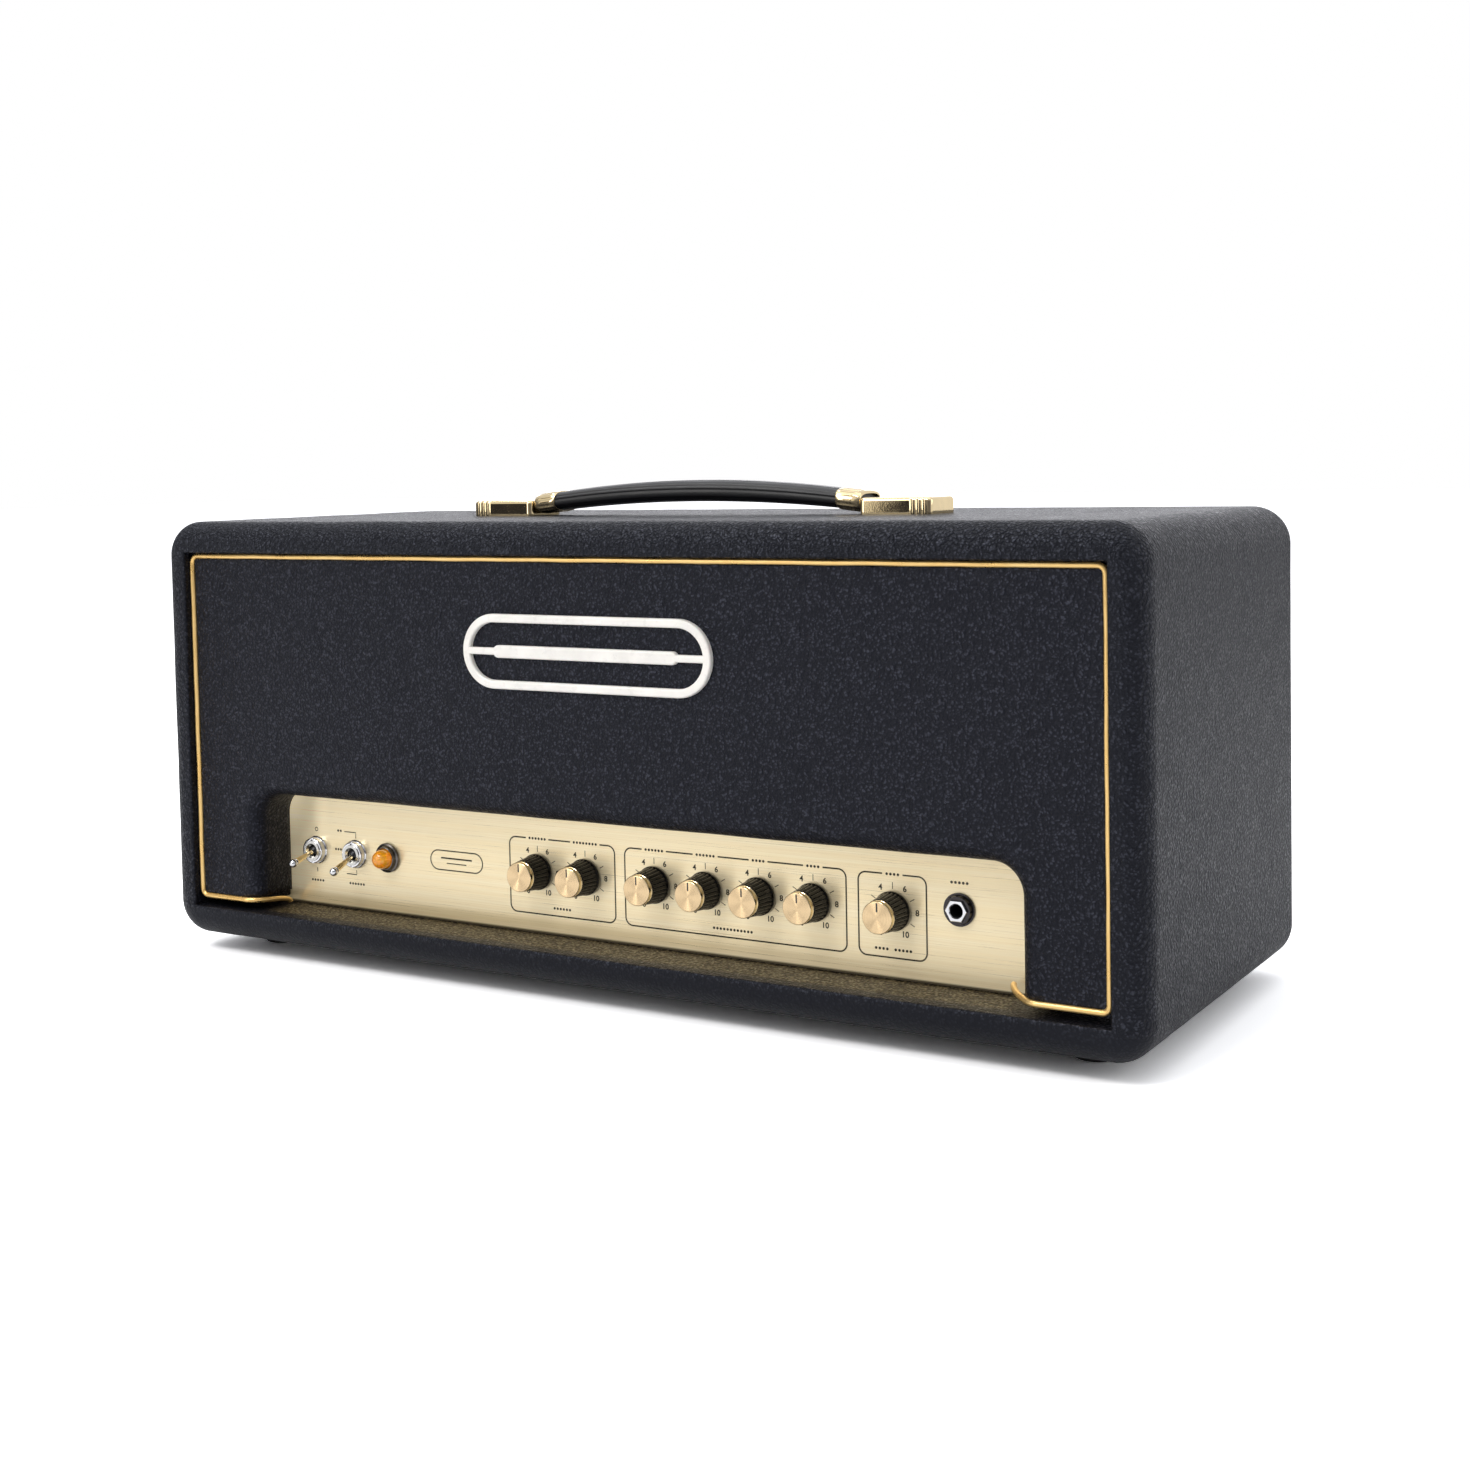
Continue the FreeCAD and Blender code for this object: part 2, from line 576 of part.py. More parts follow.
def knob_shaft(x):
    shaft = cyl_y(2.98, x, KNOB_Z, 20.6, 45.2)
    return shaft.cut(box(x - 4, x + 4, 20, 30, KNOB_Z + 1.6, KNOB_Z + 4))


def pot(x):
    return fuse([cyl_y(8.2, x, KNOB_Z, FRONT_IN + GAP, FRONT_IN + 10.0),
                 cyl_y(3.5, x, KNOB_Z, 30.4, FRONT_IN + 1.0),
                 box(x - 6.5, x + 6.5, FRONT_IN + 2.0, FRONT_IN + 2.8,
                     KNOB_Z - 13.5, KNOB_Z - 6.0)]).cut(cyl_y(3.05, x, KNOB_Z, 25, 60))


def pull_housing(x):
    """Square housing on the back of the gain pot."""
    housing = box(x - 8, x + 8, FRONT_IN + 10.0, FRONT_IN + 25.0, KNOB_Z - 8, KNOB_Z + 8)
    return housing.cut(cyl_y(2.15, x, KNOB_Z, 40, FRONT_IN + 23.5))


pots, control_nuts = [], []
for name, x in KNOBS.items():
    emit("knob_" + name, [knob_body(x), knob_shaft(x)])
    emit("knobcap_" + name, knob_cap(x))
    pots.append(fuse([pot(x), pull_housing(x)]) if name == "gain" else pot(x))
    nut = hex_y(9.0, x, KNOB_Z, 31.2, PANEL_Y - FINE_GAP)
    control_nuts.append(nut.cut(cyl_y(3.55, x, KNOB_Z, 25, 40)))
emit("pots", pots)
emit("pull_slider", cyl_y(2.05, KNOBS["gain"], KNOB_Z, 45.3, 57.0))

# ---------------------------------------------------------------- toggle switches
PIVOT_Y = 32.0
LEVER_LENGTH = 18.9
WASHER_Y0, NUT_Y0 = 32.3, 29.2                 # front faces


def lever(x, down):
    """Built level, pointing forwards, then turned down about its pivot."""
    pivot = Vec(x, PIVOT_Y, SWITCH_Z)
    arm = fuse([Part.makeSphere(3.1, pivot),
                Part.makeCone(1.25, 1.9, LEVER_LENGTH, pivot, -Y_AXIS),
                Part.makeSphere(2.45, Vec(x, PIVOT_Y - LEVER_LENGTH, SWITCH_Z))])
    arm.rotate(pivot, Vec(1, 0, 0), down)
    return arm


def switch_body(x):
    parts = [box(x - 8.5, x + 8.5, FRONT_IN + GAP, FRONT_IN + 24, SWITCH_Z - 14, SWITCH_Z + 14),
             cyl_y(5.9, x, SWITCH_Z, 28.6, FRONT_IN + 1)]
    for z in (SWITCH_Z - 9, SWITCH_Z, SWITCH_Z + 9):
        parts.append(box(x - 2.5, x + 2.5, FRONT_IN + 23.5, FRONT_IN + 30, z - 0.5, z + 0.5))
    mouth = Part.makeCone(4.4, 3.2, 1.5, Vec(x, 28.5, SWITCH_Z), Y_AXIS)
    return cut_each(fuse(parts), [cyl_y(3.2, x, SWITCH_Z, 30.0, 42.0), mouth])


def switch_washer(x):
    washer = cyl_y(8.3, x, SWITCH_Z, WASHER_Y0, PANEL_Y - FINE_GAP)
    washer = washer.cut(cyl_y(6.0, x, SWITCH_Z, 25, 40))
    return washer.makeChamfer(0.6, circles_at(washer, WASHER_Y0, above=8))


def switch_nut(x):
    """Round nut with a notch at the top and one at the bottom."""
    nut = cyl_y(7.5, x, SWITCH_Z, NUT_Y0, WASHER_Y0 - GAP).cut(cyl_y(5.95, x, SWITCH_Z, 25, 40))
    nut = nut.makeFillet(0.8, circles_at(nut, NUT_Y0, above=7))
    return cut_each(nut, [box(x - 0.9, x + 0.9, 29.0, 30.0, SWITCH_Z + z0, SWITCH_Z + z0 + 2.2)
                          for z0 in (5.8, -8)])


for name, (x, down) in SWITCHES.items():
    control_nuts += [switch_washer(x), switch_nut(x)]
    emit("lever_" + name, lever(x, down))
emit("switch_bodies", [switch_body(x) for x, _ in SWITCHES.values()])
emit("control_nuts", control_nuts)

# ---------------------------------------------------------------- indicator lamp
SEAT_Y = PANEL_Y - FINE_GAP
BEZEL = [(6.0, 29.6), (6.6, 29.6), (7.3, 31.6), (8.5, 32.2), (8.5, SEAT_Y), (6.5, SEAT_Y),
         (6.5, 44.0), (6.0, 44.0)]             # radius, y
DOME = [(5.5 * cos(pi / 2 * k / 10), 28.0 - 5.8 * sin(pi / 2 * k / 10)) for k in range(10)]
LENS = [(5.9, 36.0), (5.9, 30.2), (5.5, 29.8)] + DOME + [
    (0, 22.2), (0, 28.5), (1.2, 28.6), (3.2, 30.6), (3.2, 36.0)]


def lamp_ring(profile):
    ring = revolved(profile, Y_AXIS)
    ring.translate(Vec(LAMP_X, 0, LAMP_Z))
    return ring


lamp_nut = hex_y(16.0, LAMP_X, LAMP_Z, FRONT_IN + GAP, 39.6)
emit("lamp_bezel", [lamp_ring(BEZEL), lamp_nut.cut(cyl_y(6.55, LAMP_X, LAMP_Z, 30, 50))])
emit("lamp_lens", lamp_ring(LENS))
emit("lamp_led", fuse([cyl_y(2.4, LAMP_X, LAMP_Z, 32.0, 36.5),
                       Part.makeSphere(2.4, Vec(LAMP_X, 32.0, LAMP_Z)),
                       cyl_y(5.85, LAMP_X, LAMP_Z, 36.1, 39.0),
                       cyl_y(0.4, LAMP_X - 1.3, LAMP_Z, 38.5, 52.0),
                       cyl_y(0.4, LAMP_X + 1.3, LAMP_Z, 38.5, 52.0)]))

# ---------------------------------------------------------------- jack sockets
JACK_BORE = 3.3              # radius: 6.35 mm plug with clearance


def jack(x, z, seat, wall, out, reach):
    """Socket and scalloped nut. The nut sits at y = seat, the block against the wall's inner
    face; out is -1 at the front and 1 at the rear; the bush stands out by reach."""
    def tube(radius, start, end, x=x, z=z):
        return cyl_y(radius, x, z, *sorted((start, end)))

    block = box(x - 9, x + 9, *sorted((wall - out * 25, wall - out * GAP)), z - 9, z + 9)
    body = fuse([block, tube(4.9, wall - out, seat + out * reach)])
    body = body.cut(tube(JACK_BORE, wall - out * 22, seat + out * 10))
    shoulder = seat + out
    neck = Part.makeCone(7.4, 6.9, 2.4, Vec(x, shoulder, z), Vec(0, out, 0))
    nut = fuse([tube(8.2, seat + out * FINE_GAP, shoulder), neck])
    nut = nut.cut(tube(4.95, seat - out * 5, seat + out * 10))
    nut = cut_each(nut, [tube(0.8, shoulder, seat + out * 6, px, pz)
                         for px, pz in ring_places(x, z, 7.6, 12)])
    return body, nut


jacks = [jack(JACK_X, JACK_Z, seat=PANEL_Y, wall=FRONT_IN, out=-1, reach=4.0)]
jacks += [jack(x, REAR_Z, seat=CH_Y1, wall=REAR_IN, out=1, reach=4.6) for x in REAR_JACKS]
emit("jack_sockets", [body for body, _ in jacks])
emit("jack_nuts", [nut for _, nut in jacks])

# ---------------------------------------------------------------- mains inlet and fuse


def inlet_block(half_x, half_z, y0, y1, radius):
    """Rounded block centred on the inlet; y counts from the rear wall's outer face."""
    return rounded_box(INLET_X - half_x, INLET_X + half_x, CH_Y1 + y0, CH_Y1 + y1,
                       REAR_Z - half_z, REAR_Z + half_z, radius, "y")


def mains_inlet():
    body = fuse([inlet_block(25, 13, FINE_GAP, 3.0, 4), inlet_block(14, 11, -24, 1, 2)])
    body = body.cut(inlet_block(12.2, 8.4, -16, 8, 3))
    pins = []
    for dx, dz in ((-7, 1.5), (0, -2.5), (7, 1.5)):
        x, z = INLET_X + dx, REAR_Z + dz
        pins.append(box(x - 1.0, x + 1.0, CH_Y1 - 20, CH_Y1 - 3.0, z - 2.0, z + 2.0))
    body = fuse([body] + pins)
    return cut_all(body, [cyl_y(1.7, x, REAR_Z, CH_Y1 - 5, CH_Y1 + 5) for x in INLET_SCREWS])


def fuse_tube(radius, y0, y1):
    """Cylinder on the fuse axis; y counts from the rear wall's outer face."""
    return cyl_y(radius, FUSE_X, REAR_Z, CH_Y1 + y0, CH_Y1 + y1)


def fuse_cap():
    """Fluted cap with a slotted end and a stem reaching into the holder."""
    end = CH_Y1 + 10.5
    cap = fuse([fuse_tube(7.6, 3.1, 10.5), fuse_tube(5.2, -6, 4), fuse_tube(2.6, -31, -5)])
    cap = cap.makeChamfer(0.6, circles_at(cap, end))
    cap = cut_each(cap, [cyl_y(0.55, x, z, CH_Y1 + 4.2, CH_Y1 + 12)
                         for x, z in ring_places(FUSE_X, REAR_Z, 7.7, 18)])
    return cap.cut(box(FUSE_X - 4.5, FUSE_X + 4.5, end - 1.1, end + 1.5,
                       REAR_Z - 0.7, REAR_Z + 0.7))


emit("mains_inlet", mains_inlet())
inlet_screws = [small_screw(x, REAR_Z, CH_Y1 + 3.02, recess=0.88, shank_r=1.5, shank_length=12.0)
                for x in INLET_SCREWS]
holder = fuse([fuse_tube(8.4, FINE_GAP, 3.0), fuse_tube(6.2, -38, 0.5)])
holder_nut = hex_y(16.0, FUSE_X, REAR_Z, REAR_IN - 3.5, REAR_IN - GAP)
emit("fuse_holder", [holder.cut(fuse_tube(5.3, -34, 5)), holder_nut.cut(fuse_tube(6.25, -10, 2))])
emit("fuse_cap", fuse_cap())

# ---------------------------------------------------------------- circuit board
board = box(-38.0, 230.0, 54.0, 192.5, PCB_Z0, PCB_Z1)
emit("circuit_board", cut_all(board, [cyl_z(1.7, x, y, 60, 80) for x, y in STANDOFFS]))

machine_screws = []
for x, y in STANDOFFS:       # hexagonal post, then the screws from above and from below
    post = hex_z(6.0, x, y, PCB_Z1 + FINE_GAP, DECK_IN - FINE_GAP)
    machine_screws += [
        post.cut(cyl_z(1.7, x, y, 60, 95)),
        fuse([cyl_z(2.9, x, y, CH_Z1 + FINE_GAP, CH_Z1 + 1.7),
              cyl_z(1.5, x, y, CH_Z1 - 8.5, CH_Z1 + 0.5)]),
        fuse([cyl_z(2.9, x, y, PCB_Z0 - 1.7, PCB_Z0 - FINE_GAP),
              cyl_z(1.5, x, y, PCB_Z0 - 0.5, PCB_Z0 + 8.0)])]
emit("machine_screws", machine_screws + inlet_screws + grille_screws)


def can_capacitor(x, y):
    """Can hanging under the board, with a groove near its base."""
    bottom = PCB_Z0 - 36.0
    can = cyl_z(11.0, x, y, bottom, PCB_Z0 - FINE_GAP)
    can = round_edges(can, 1.2, lambda e: in_plane(e, "Z", bottom))
    return can.cut(Part.makeTorus(11.4, 1.0, Vec(x, y, PCB_Z0 - 6.0), Z_AXIS))


board_parts = [can_capacitor(x, 150.0) for x in (20.0, 50.0, 80.0, 110.0, 140.0)]
for i in range(14):          # a row of blocks and a row of rods
    x = -18 + i * 17.0
    axis_z = PCB_Z0 - 2.6
    board_parts += [box(x - 6.5, x + 6.5, 84.0, 90.5, PCB_Z0 - 11.0, PCB_Z0 - FINE_GAP),
                    rod(2.0, Vec(x - 5.5, 101.0, axis_z), Vec(x + 5.5, 101.0, axis_z))]
emit("board_parts", board_parts)


# ---------------------------------------------------------------- transformers
def transformer(footprint, height):
    """Laminated core on a flat mounting frame, its winding, and its bolts and nuts."""
    x0, x1, y0, y1 = footprint
    base = CH_Z1 + GAP
    window = (x1 - x0) / 6.0
    window_z0, window_z1 = base + 2.0 + window, base + height - window
    core = box(x0, x1, y0, y1, base + 2.0, base + height)
    for left in (x0 + window, x1 - 2 * window):
        core = core.cut(box(left, left + window, y0 - 1, y1 + 1, window_z0, window_z1))
    core = round_edges(core, 2.0, lambda e: along(e, "y") and (
        abs(e.BoundBox.XMin - x0) < 1e-4 or abs(e.BoundBox.XMin - x1) < 1e-4))

    places = fixing_places(footprint)
    frame = box(x0, x1, y0 - 16, y1 + 16, base, base + 2.0 - FINE_GAP)
    frame = cut_all(frame, [cyl_z(2.3, x, y, base - 1, base + 4) for x, y in places])

    winding = rounded_box(x0 + window + 0.1, x1 - window - 0.1, y0 - 13, y1 + 13,
                          window_z0 + 0.1, window_z1 - 0.1, 6, "z")
    winding = winding.cut(box(x0 + 2 * window - FINE_GAP, x1 - 2 * window + FINE_GAP,
                              y0 - FINE_GAP, y1 + FINE_GAP, base, base + height + 1))
    fixings = []
    for x, y in places:
        fixings.append(fuse([hex_z(7.0, x, y, base + 2.0, base + 5.0),
                             cyl_z(2.0, x, y, base - 8, base + 2.5)]))
        nut = hex_z(7.0, x, y, DECK_IN - 3.2, DECK_IN - FINE_GAP)
        fixings.append(nut.cut(cyl_z(2.05, x, y, 70, 95)))
    return [core, frame], winding, fixings


mains_core, mains_winding, mains_fixings = transformer(MAINS_CORE, 84.0)
output_core, output_winding, output_fixings = transformer(OUTPUT_CORE, 66.0)
emit("mains_transformer", mains_core)
emit("output_transformer", output_core)
emit("transformer_windings", [mains_winding, output_winding])
emit("bolts_and_nuts", bolts_and_nuts + mains_fixings + output_fixings)

# ---------------------------------------------------------------- valves
# glass outlines: radius, height above the glass's foot
POWER_OUTER = [(14.5, 0), (16.0, 3), (16.0, 66), (15.2, 72), (12.6, 77.5), (8.0, 81.5),
               (3.0, 83.5)]
POWER_INNER = [(13.3, 1.2), (14.8, 3.4), (14.8, 66), (14.0, 71.5), (11.6, 76.3), (7.3, 80.1),
               (2.6, 82.0)]
PREAMP_OUTER = [(9.0, 0), (10.3, 2), (10.3, 38), (9.4, 42.5), (6.5, 46.0), (2.4, 48),
                (1.2, 52)]
PREAMP_INNER = [(8.0, 1.0), (9.3, 2.4), (9.3, 38), (8.4, 42.0), (5.8, 45.0), (1.8, 46.8)]
FLANGE_TOP = CH_Z1 + 3.0
BASE_TOP = CH_Z1 + 18.0      # top of a power valve's base
POWER_FOOT, PREAMP_FOOT = BASE_TOP + GAP, FLANGE_TOP + GAP


def glass(x, y, foot_z, outer, inner):
    def turned(outline):
        points = [(0, outline[0][1])] + outline + [(0, outline[-1][1])]
        return revolved([(radius, foot_z + height) for radius, height in points], Z_AXIS)

    envelope = turned(outer).cut(turned(inner))
    envelope.translate(Vec(x, y, 0))
    return envelope


def valve_socket(x, y, body_r, flange_r):
    return fuse([cyl_z(body_r, x, y, PCB_Z1 + GAP, FLANGE_TOP),
                 cyl_z(flange_r, x, y, CH_Z1 + FINE_GAP, FLANGE_TOP)])


def electrodes(x, y, foot_z, plate, plate_z, corner, disc_r, discs_z, pin_x, pin_r, pin_z):
    """Plate block (half sizes in x and y) between two discs, on two pins."""
    half_x, half_y = plate
    parts = [rounded_box(x - half_x, x + half_x, y - half_y, y + half_y,
                         foot_z + plate_z[0], foot_z + plate_z[1], corner, "z")]
    parts += [cyl_z(disc_r, x, y, foot_z + z0, foot_z + z1) for z0, z1 in discs_z]
    parts += [cyl_z(pin_r, x + dx, y, foot_z + pin_z[0], foot_z + pin_z[1])
              for dx in (-pin_x, pin_x)]
    return parts


valve_parts = []
for x, y in POWER_VALVES:
    valve_parts += electrodes(x, y, POWER_FOOT, plate=(9, 6.5), plate_z=(14, 58), corner=3,
                              disc_r=11.5, discs_z=((10.5, 12.0), (60.0, 61.5)),
                              pin_x=5.0, pin_r=0.8, pin_z=(1.3, 10.45))
for x, y in PREAMP_VALVES:
    valve_parts += electrodes(x, y, PREAMP_FOOT, plate=(6, 3.5), plate_z=(9, 33), corner=2,
                              disc_r=7.6, discs_z=((7.0, 8.0), (34.0, 35.0)),
                              pin_x=4.0, pin_r=0.5, pin_z=(1.05, 6.95))
sockets = [valve_socket(x, y, 14.0, 17.0) for x, y in POWER_VALVES]
sockets += [valve_socket(x, y, 11.0, 13.0) for x, y in PREAMP_VALVES]
valve_bases = [cyl_z(16.6, x, y, FLANGE_TOP + GAP, BASE_TOP) for x, y in POWER_VALVES]
emit("valve_sockets", sockets + valve_bases)
emit("power_valves", [glass(x, y, POWER_FOOT, POWER_OUTER, POWER_INNER)
                      for x, y in POWER_VALVES])
emit("preamp_valves", [glass(x, y, PREAMP_FOOT, PREAMP_OUTER, PREAMP_INNER)
                       for x, y in PREAMP_VALVES])
emit("valve_electrodes", valve_parts)

# ---------------------------------------------------------------- wiring
# cable radius, bend radius, points
CABLES = [
    # inlet to power switch, along the left wall
    (2.2, 6.0, [(-205.0, 196.5, 48.0), (-205.0, 178.0, 48.0), (-226.0, 178.0, 48.0),
                (-226.0, 84.0, 48.0), (-217.0, 68.0, 51.0)]),
    # transformer leads down through the deck to the board
    (3.2, 8.0, [(*MAINS_LEAD, 112.0), (*MAINS_LEAD, 60.0), (-60.0, 168.0, 60.0),
                (-41.0, 168.0, 71.2)]),
    (2.6, 6.0, [(*OUTPUT_LEAD, 112.0), (*OUTPUT_LEAD, 78.0), (-82.0, 130.0, 78.0),
                (-41.0, 130.0, 71.2)]),
    # fuse to board
    (1.6, 5.0, [(-128.0, 180.5, 54.0), (-128.0, 172.0, 36.0), (-60.0, 140.0, 36.0),
                (-41.0, 118.0, 70.0)]),
    # input jack to board
    (1.5, 3.0, [(JACK_X, 63.6, JACK_Z), (JACK_X, 72.0, JACK_Z), (JACK_X, 76.5, 66.0)]),
]


def cable(radius, bend, places):
    """Round cable through the points, with bent corners."""
    points = [Vec(*place) for place in places]
    edges, reached = [], points[0]
    for before, corner, after in zip(points, points[1:], points[2:]):
        back_way = (before - corner).normalize()
        onward = (after - corner).normalize()
        half_angle = back_way.getAngle(onward) / 2
        trim = bend / tan(half_angle)
        start, end = corner + back_way * trim, corner + onward * trim
        bisector = (back_way + onward).normalize()
        centre = corner + bisector * (bend / sin(half_angle))
        edges.append(Part.makeLine(reached, start))
        edges.append(arc(start, centre - bisector * bend, end))
        reached = end
    edges.append(Part.makeLine(reached, points[-1]))
    return swept(edges, points[0], points[1] - points[0], radius)


emit("wiring", [cable(*row) for row in CABLES])

# ---------------------------------------------------------------- handle
ARCH_X = 94.0                # half span of the strap's arc; straight beyond it
ARCH_MID, ARCH_END = HEIGHT + 13.4, HEIGHT + 8.2       # centre line at the middle and at ARCH_X
ARCH_RISE = ARCH_MID - ARCH_END
ARCH_R = (ARCH_X ** 2 + ARCH_RISE ** 2) / (2 * ARCH_RISE)
STRAP_W = 25.0
CORE_W, CORE_HALF_T = 14.0, 0.75
CORE_END_Z = HEIGHT + 3.3    # height of the core's flat ends
CORE_X0, CORE_X1 = 92, 107   # where the core leaves the arch and where it is flat
FERRULE_T = 0.85
CAP_X0, CAP_X1 = 108.0, 150.0
CAP_W = 30.0
CAP_TOP, CAP_ROOF = HEIGHT + 9.0, HEIGHT + 7.7         # outer and inner top of the end caps


def arch(x):
    """Height of the strap's centre line."""
    if abs(x) <= ARCH_X:
        return ARCH_MID - (ARCH_R - sqrt(ARCH_R * ARCH_R - x * x))
    slope = ARCH_X / sqrt(ARCH_R * ARCH_R - ARCH_X ** 2)
    return ARCH_END - (abs(x) - ARCH_X) * slope


def strap_half(x):
    return 6.1 - 0.7 * min(1.0, abs(x) / ARCH_X) ** 2


def arched_bar(stations, extra, width):
    """Bar following the arch, thicker than the strap by extra above and below."""
    top = [Vec(x, 0, arch(x) + (strap_half(x) + extra)) for x in stations]
    bottom = [Vec(x, 0, arch(x) - (strap_half(x) + extra)) for x in stations]
    top_curve, bottom_curve = Part.BSplineCurve(), Part.BSplineCurve()
    top_curve.interpolate(top)
    bottom_curve.interpolate(bottom)
    outline = Part.Wire([top_curve.toShape(), Part.makeLine(top[-1], bottom[-1]),
                         bottom_curve.toShape(), Part.makeLine(bottom[0], top[0])])
    bar = Part.Face(outline).extrude(Vec(0, width, 0))
    bar.translate(Vec(0, HANDLE_Y - width / 2, 0))
    return bar


def core_z(x):
    """Centre of the core: below the arch, easing down to its flat ends."""
    def under_arch(place):
        return arch(place) - 2.2

    if abs(x) <= CORE_X0:
        return under_arch(x)
    if abs(x) >= CORE_X1:
        return CORE_END_Z
    t = (abs(x) - CORE_X0) / (CORE_X1 - CORE_X0)
    start = under_arch(CORE_X0)
    return start + (CORE_END_Z - start) * (t * t * (3 - 2 * t))


def handle_core():
    ends = [91, 95, 99, 103, 107, 114, 122, 130, 137.0]
    stations = [-x for x in reversed(ends)] + [-84 + 12.0 * i for i in range(15)] + ends
    top = [Vec(x, 0, core_z(x) + CORE_HALF_T) for x in stations]
    bottom = [Vec(x, 0, core_z(x) - CORE_HALF_T) for x in reversed(stations)]
    strip = polygon_face(top + bottom).extrude(Vec(0, CORE_W, 0))
    strip.translate(Vec(0, HANDLE_Y - CORE_W / 2, 0))
    return strip


def ferrule(side):
    """Sleeve round one end of the strap."""
    stations = sorted(side * x for x in (92.5, 95, 97.5, 100, 102.5, 105, 107.4))
    sleeve = arched_bar(stations, FERRULE_T, STRAP_W + 2 * FERRULE_T)
    sleeve = round_edges(sleeve, 4.6, lambda e: 13 < e.BoundBox.XLength < 17)
    return sleeve.cut(strap).cut(core)


def end_cap(side):
    """Hollow cap, open below and slotted on its inner end for the core."""
    x0, x1 = side_span(side, CAP_X0, CAP_X1)
    y0, y1 = HANDLE_Y - CAP_W / 2, HANDLE_Y + CAP_W / 2
    cap = rounded_box(x0, x1, y0, y1, HEIGHT + GAP, CAP_TOP, 2.5, "z")
    cap = round_edges(cap, 1.6, lambda e: in_plane(e, "Z", CAP_TOP))
    cap = cap.cut(box(x0 + 1.2, x1 - 1.2, y0 + 1.2, y1 - 1.2, HEIGHT - 1, CAP_ROOF))
    inner_x = side * CAP_X0
    return cap.cut(box(inner_x - 3, inner_x + 3, HANDLE_Y - 8.2, HANDLE_Y + 8.2,
                       HEIGHT - 1, CAP_ROOF))


def cap_plate(side):
    x0, x1 = side_span(side, CAP_X0 + 1.4, CAP_X1 - 1.4)
    half_w = CAP_W / 2 - 1.4
    plate = box(x0, x1, HANDLE_Y - half_w, HANDLE_Y + half_w, HEIGHT + FINE_GAP, HEIGHT + 1.5)
    return cut_all(plate, [cyl_z(2.4, x, y, HEIGHT - 1, HEIGHT + 3) for x, y in HANDLE_SCREWS])


strap = arched_bar([-106 + 212 * i / 24.0 for i in range(25)], 0.0, STRAP_W)
strap = round_edges(strap, 4.2, lambda e: e.BoundBox.XLength > 200)
core = handle_core()
emit("handle_strap", strap.cut(core))
emit("handle_core", core)
emit("handle_ferrules", [ferrule(side) for side in SIDES])
emit("handle_caps", [end_cap(side) for side in SIDES] + [cap_plate(side) for side in SIDES])
wood_screws += [fuse([cyl_z(3.4, x, y, HEIGHT + 1.55, HEIGHT + 3.6),
                      cyl_z(2.1, x, y, HEIGHT - 15, HEIGHT + 2)]) for x, y in HANDLE_SCREWS]
emit("wood_screws", wood_screws)
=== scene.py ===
"""A guitar amplifier head: a vinyl-covered cabinet with a gold control panel low on its front.

Lengths are millimetres in the build frame: X runs to the right seen from the front, Y runs
from the cabinet's front (0) to its back (240), and Z runs up from the cabinet's underside.
point() turns them into metres in the row frame, where the cabinet is centred on Y and the
floor is at Z 0. Lengths in materials, lights and the camera are metres in the row frame.
"""
import math
import bpy
import bmesh
from mathutils import Matrix, Vector, noise
from mathutils.geometry import delaunay_2d_cdt


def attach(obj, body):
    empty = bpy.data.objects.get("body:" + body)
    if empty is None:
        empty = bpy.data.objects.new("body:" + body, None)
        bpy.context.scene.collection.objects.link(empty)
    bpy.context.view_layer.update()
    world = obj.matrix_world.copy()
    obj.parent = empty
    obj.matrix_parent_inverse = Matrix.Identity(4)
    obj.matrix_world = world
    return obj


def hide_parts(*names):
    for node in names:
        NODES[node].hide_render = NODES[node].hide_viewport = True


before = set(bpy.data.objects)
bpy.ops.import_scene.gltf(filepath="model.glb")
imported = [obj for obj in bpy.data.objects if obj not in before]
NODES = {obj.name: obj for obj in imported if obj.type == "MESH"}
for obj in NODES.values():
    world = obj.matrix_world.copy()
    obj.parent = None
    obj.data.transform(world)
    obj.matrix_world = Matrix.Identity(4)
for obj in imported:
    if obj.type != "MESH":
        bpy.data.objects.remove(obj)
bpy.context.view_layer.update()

SCENE = bpy.context.scene
PI = math.pi

# cabinet
HALF_WIDTH = 302.0
HEIGHT = 245.0
MID_Y = 120.0
FLOOR_DROP = 10.0          # the floor lies this far below the cabinet

# front baffle, with a round-topped opening for the control panel
BAFFLE_HALF = 280.2
BAFFLE_TOP = 223.2
BAFFLE_FOOT = 25.6
BAFFLE_Y = 5.5
OPENING_HALF = 237.8
OPENING_TOP = 86.3
OPENING_CORNER = 15.0
LIP_RADIUS = 10.0          # roll of the covering round the opening's front edge

# control panel: name, x, and how many dots stand above the knob
KNOBS = [("master", -55.8, 6), ("presence", -24.0, 8), ("treble", 20.4, 6),
         ("middle", 52.2, 6), ("bass", 84.0, 4), ("tilt", 115.8, 4), ("gain", 160.2, 4)]
KNOB_Z = 52.45
SWITCH_Z = 51.0
POWER_X, OUTPUT_X = -217.0, -186.7
LAMP_X, LAMP_Z = -162.5, 50.9
JACK_X, JACK_Z = 196.1, 56.7

# rear jacks, in three groups
REAR_JACKS = [(205.0, 172.0, 139.0), (98.0, 55.0, 24.0), (-7.0, -38.0, -69.0)]
REAR_Z = 54.0


def point(x, y, z):
    """A build-frame point (mm) in the row frame (m)."""
    return Vector((x * 1e-3, (y - MID_Y) * 1e-3, (z + FLOOR_DROP) * 1e-3))


# ------------------------------------------------------------------ shader graphs
MATERIALS = {}
FALL = (1.0, 0.0)          # makes fit() run downwards


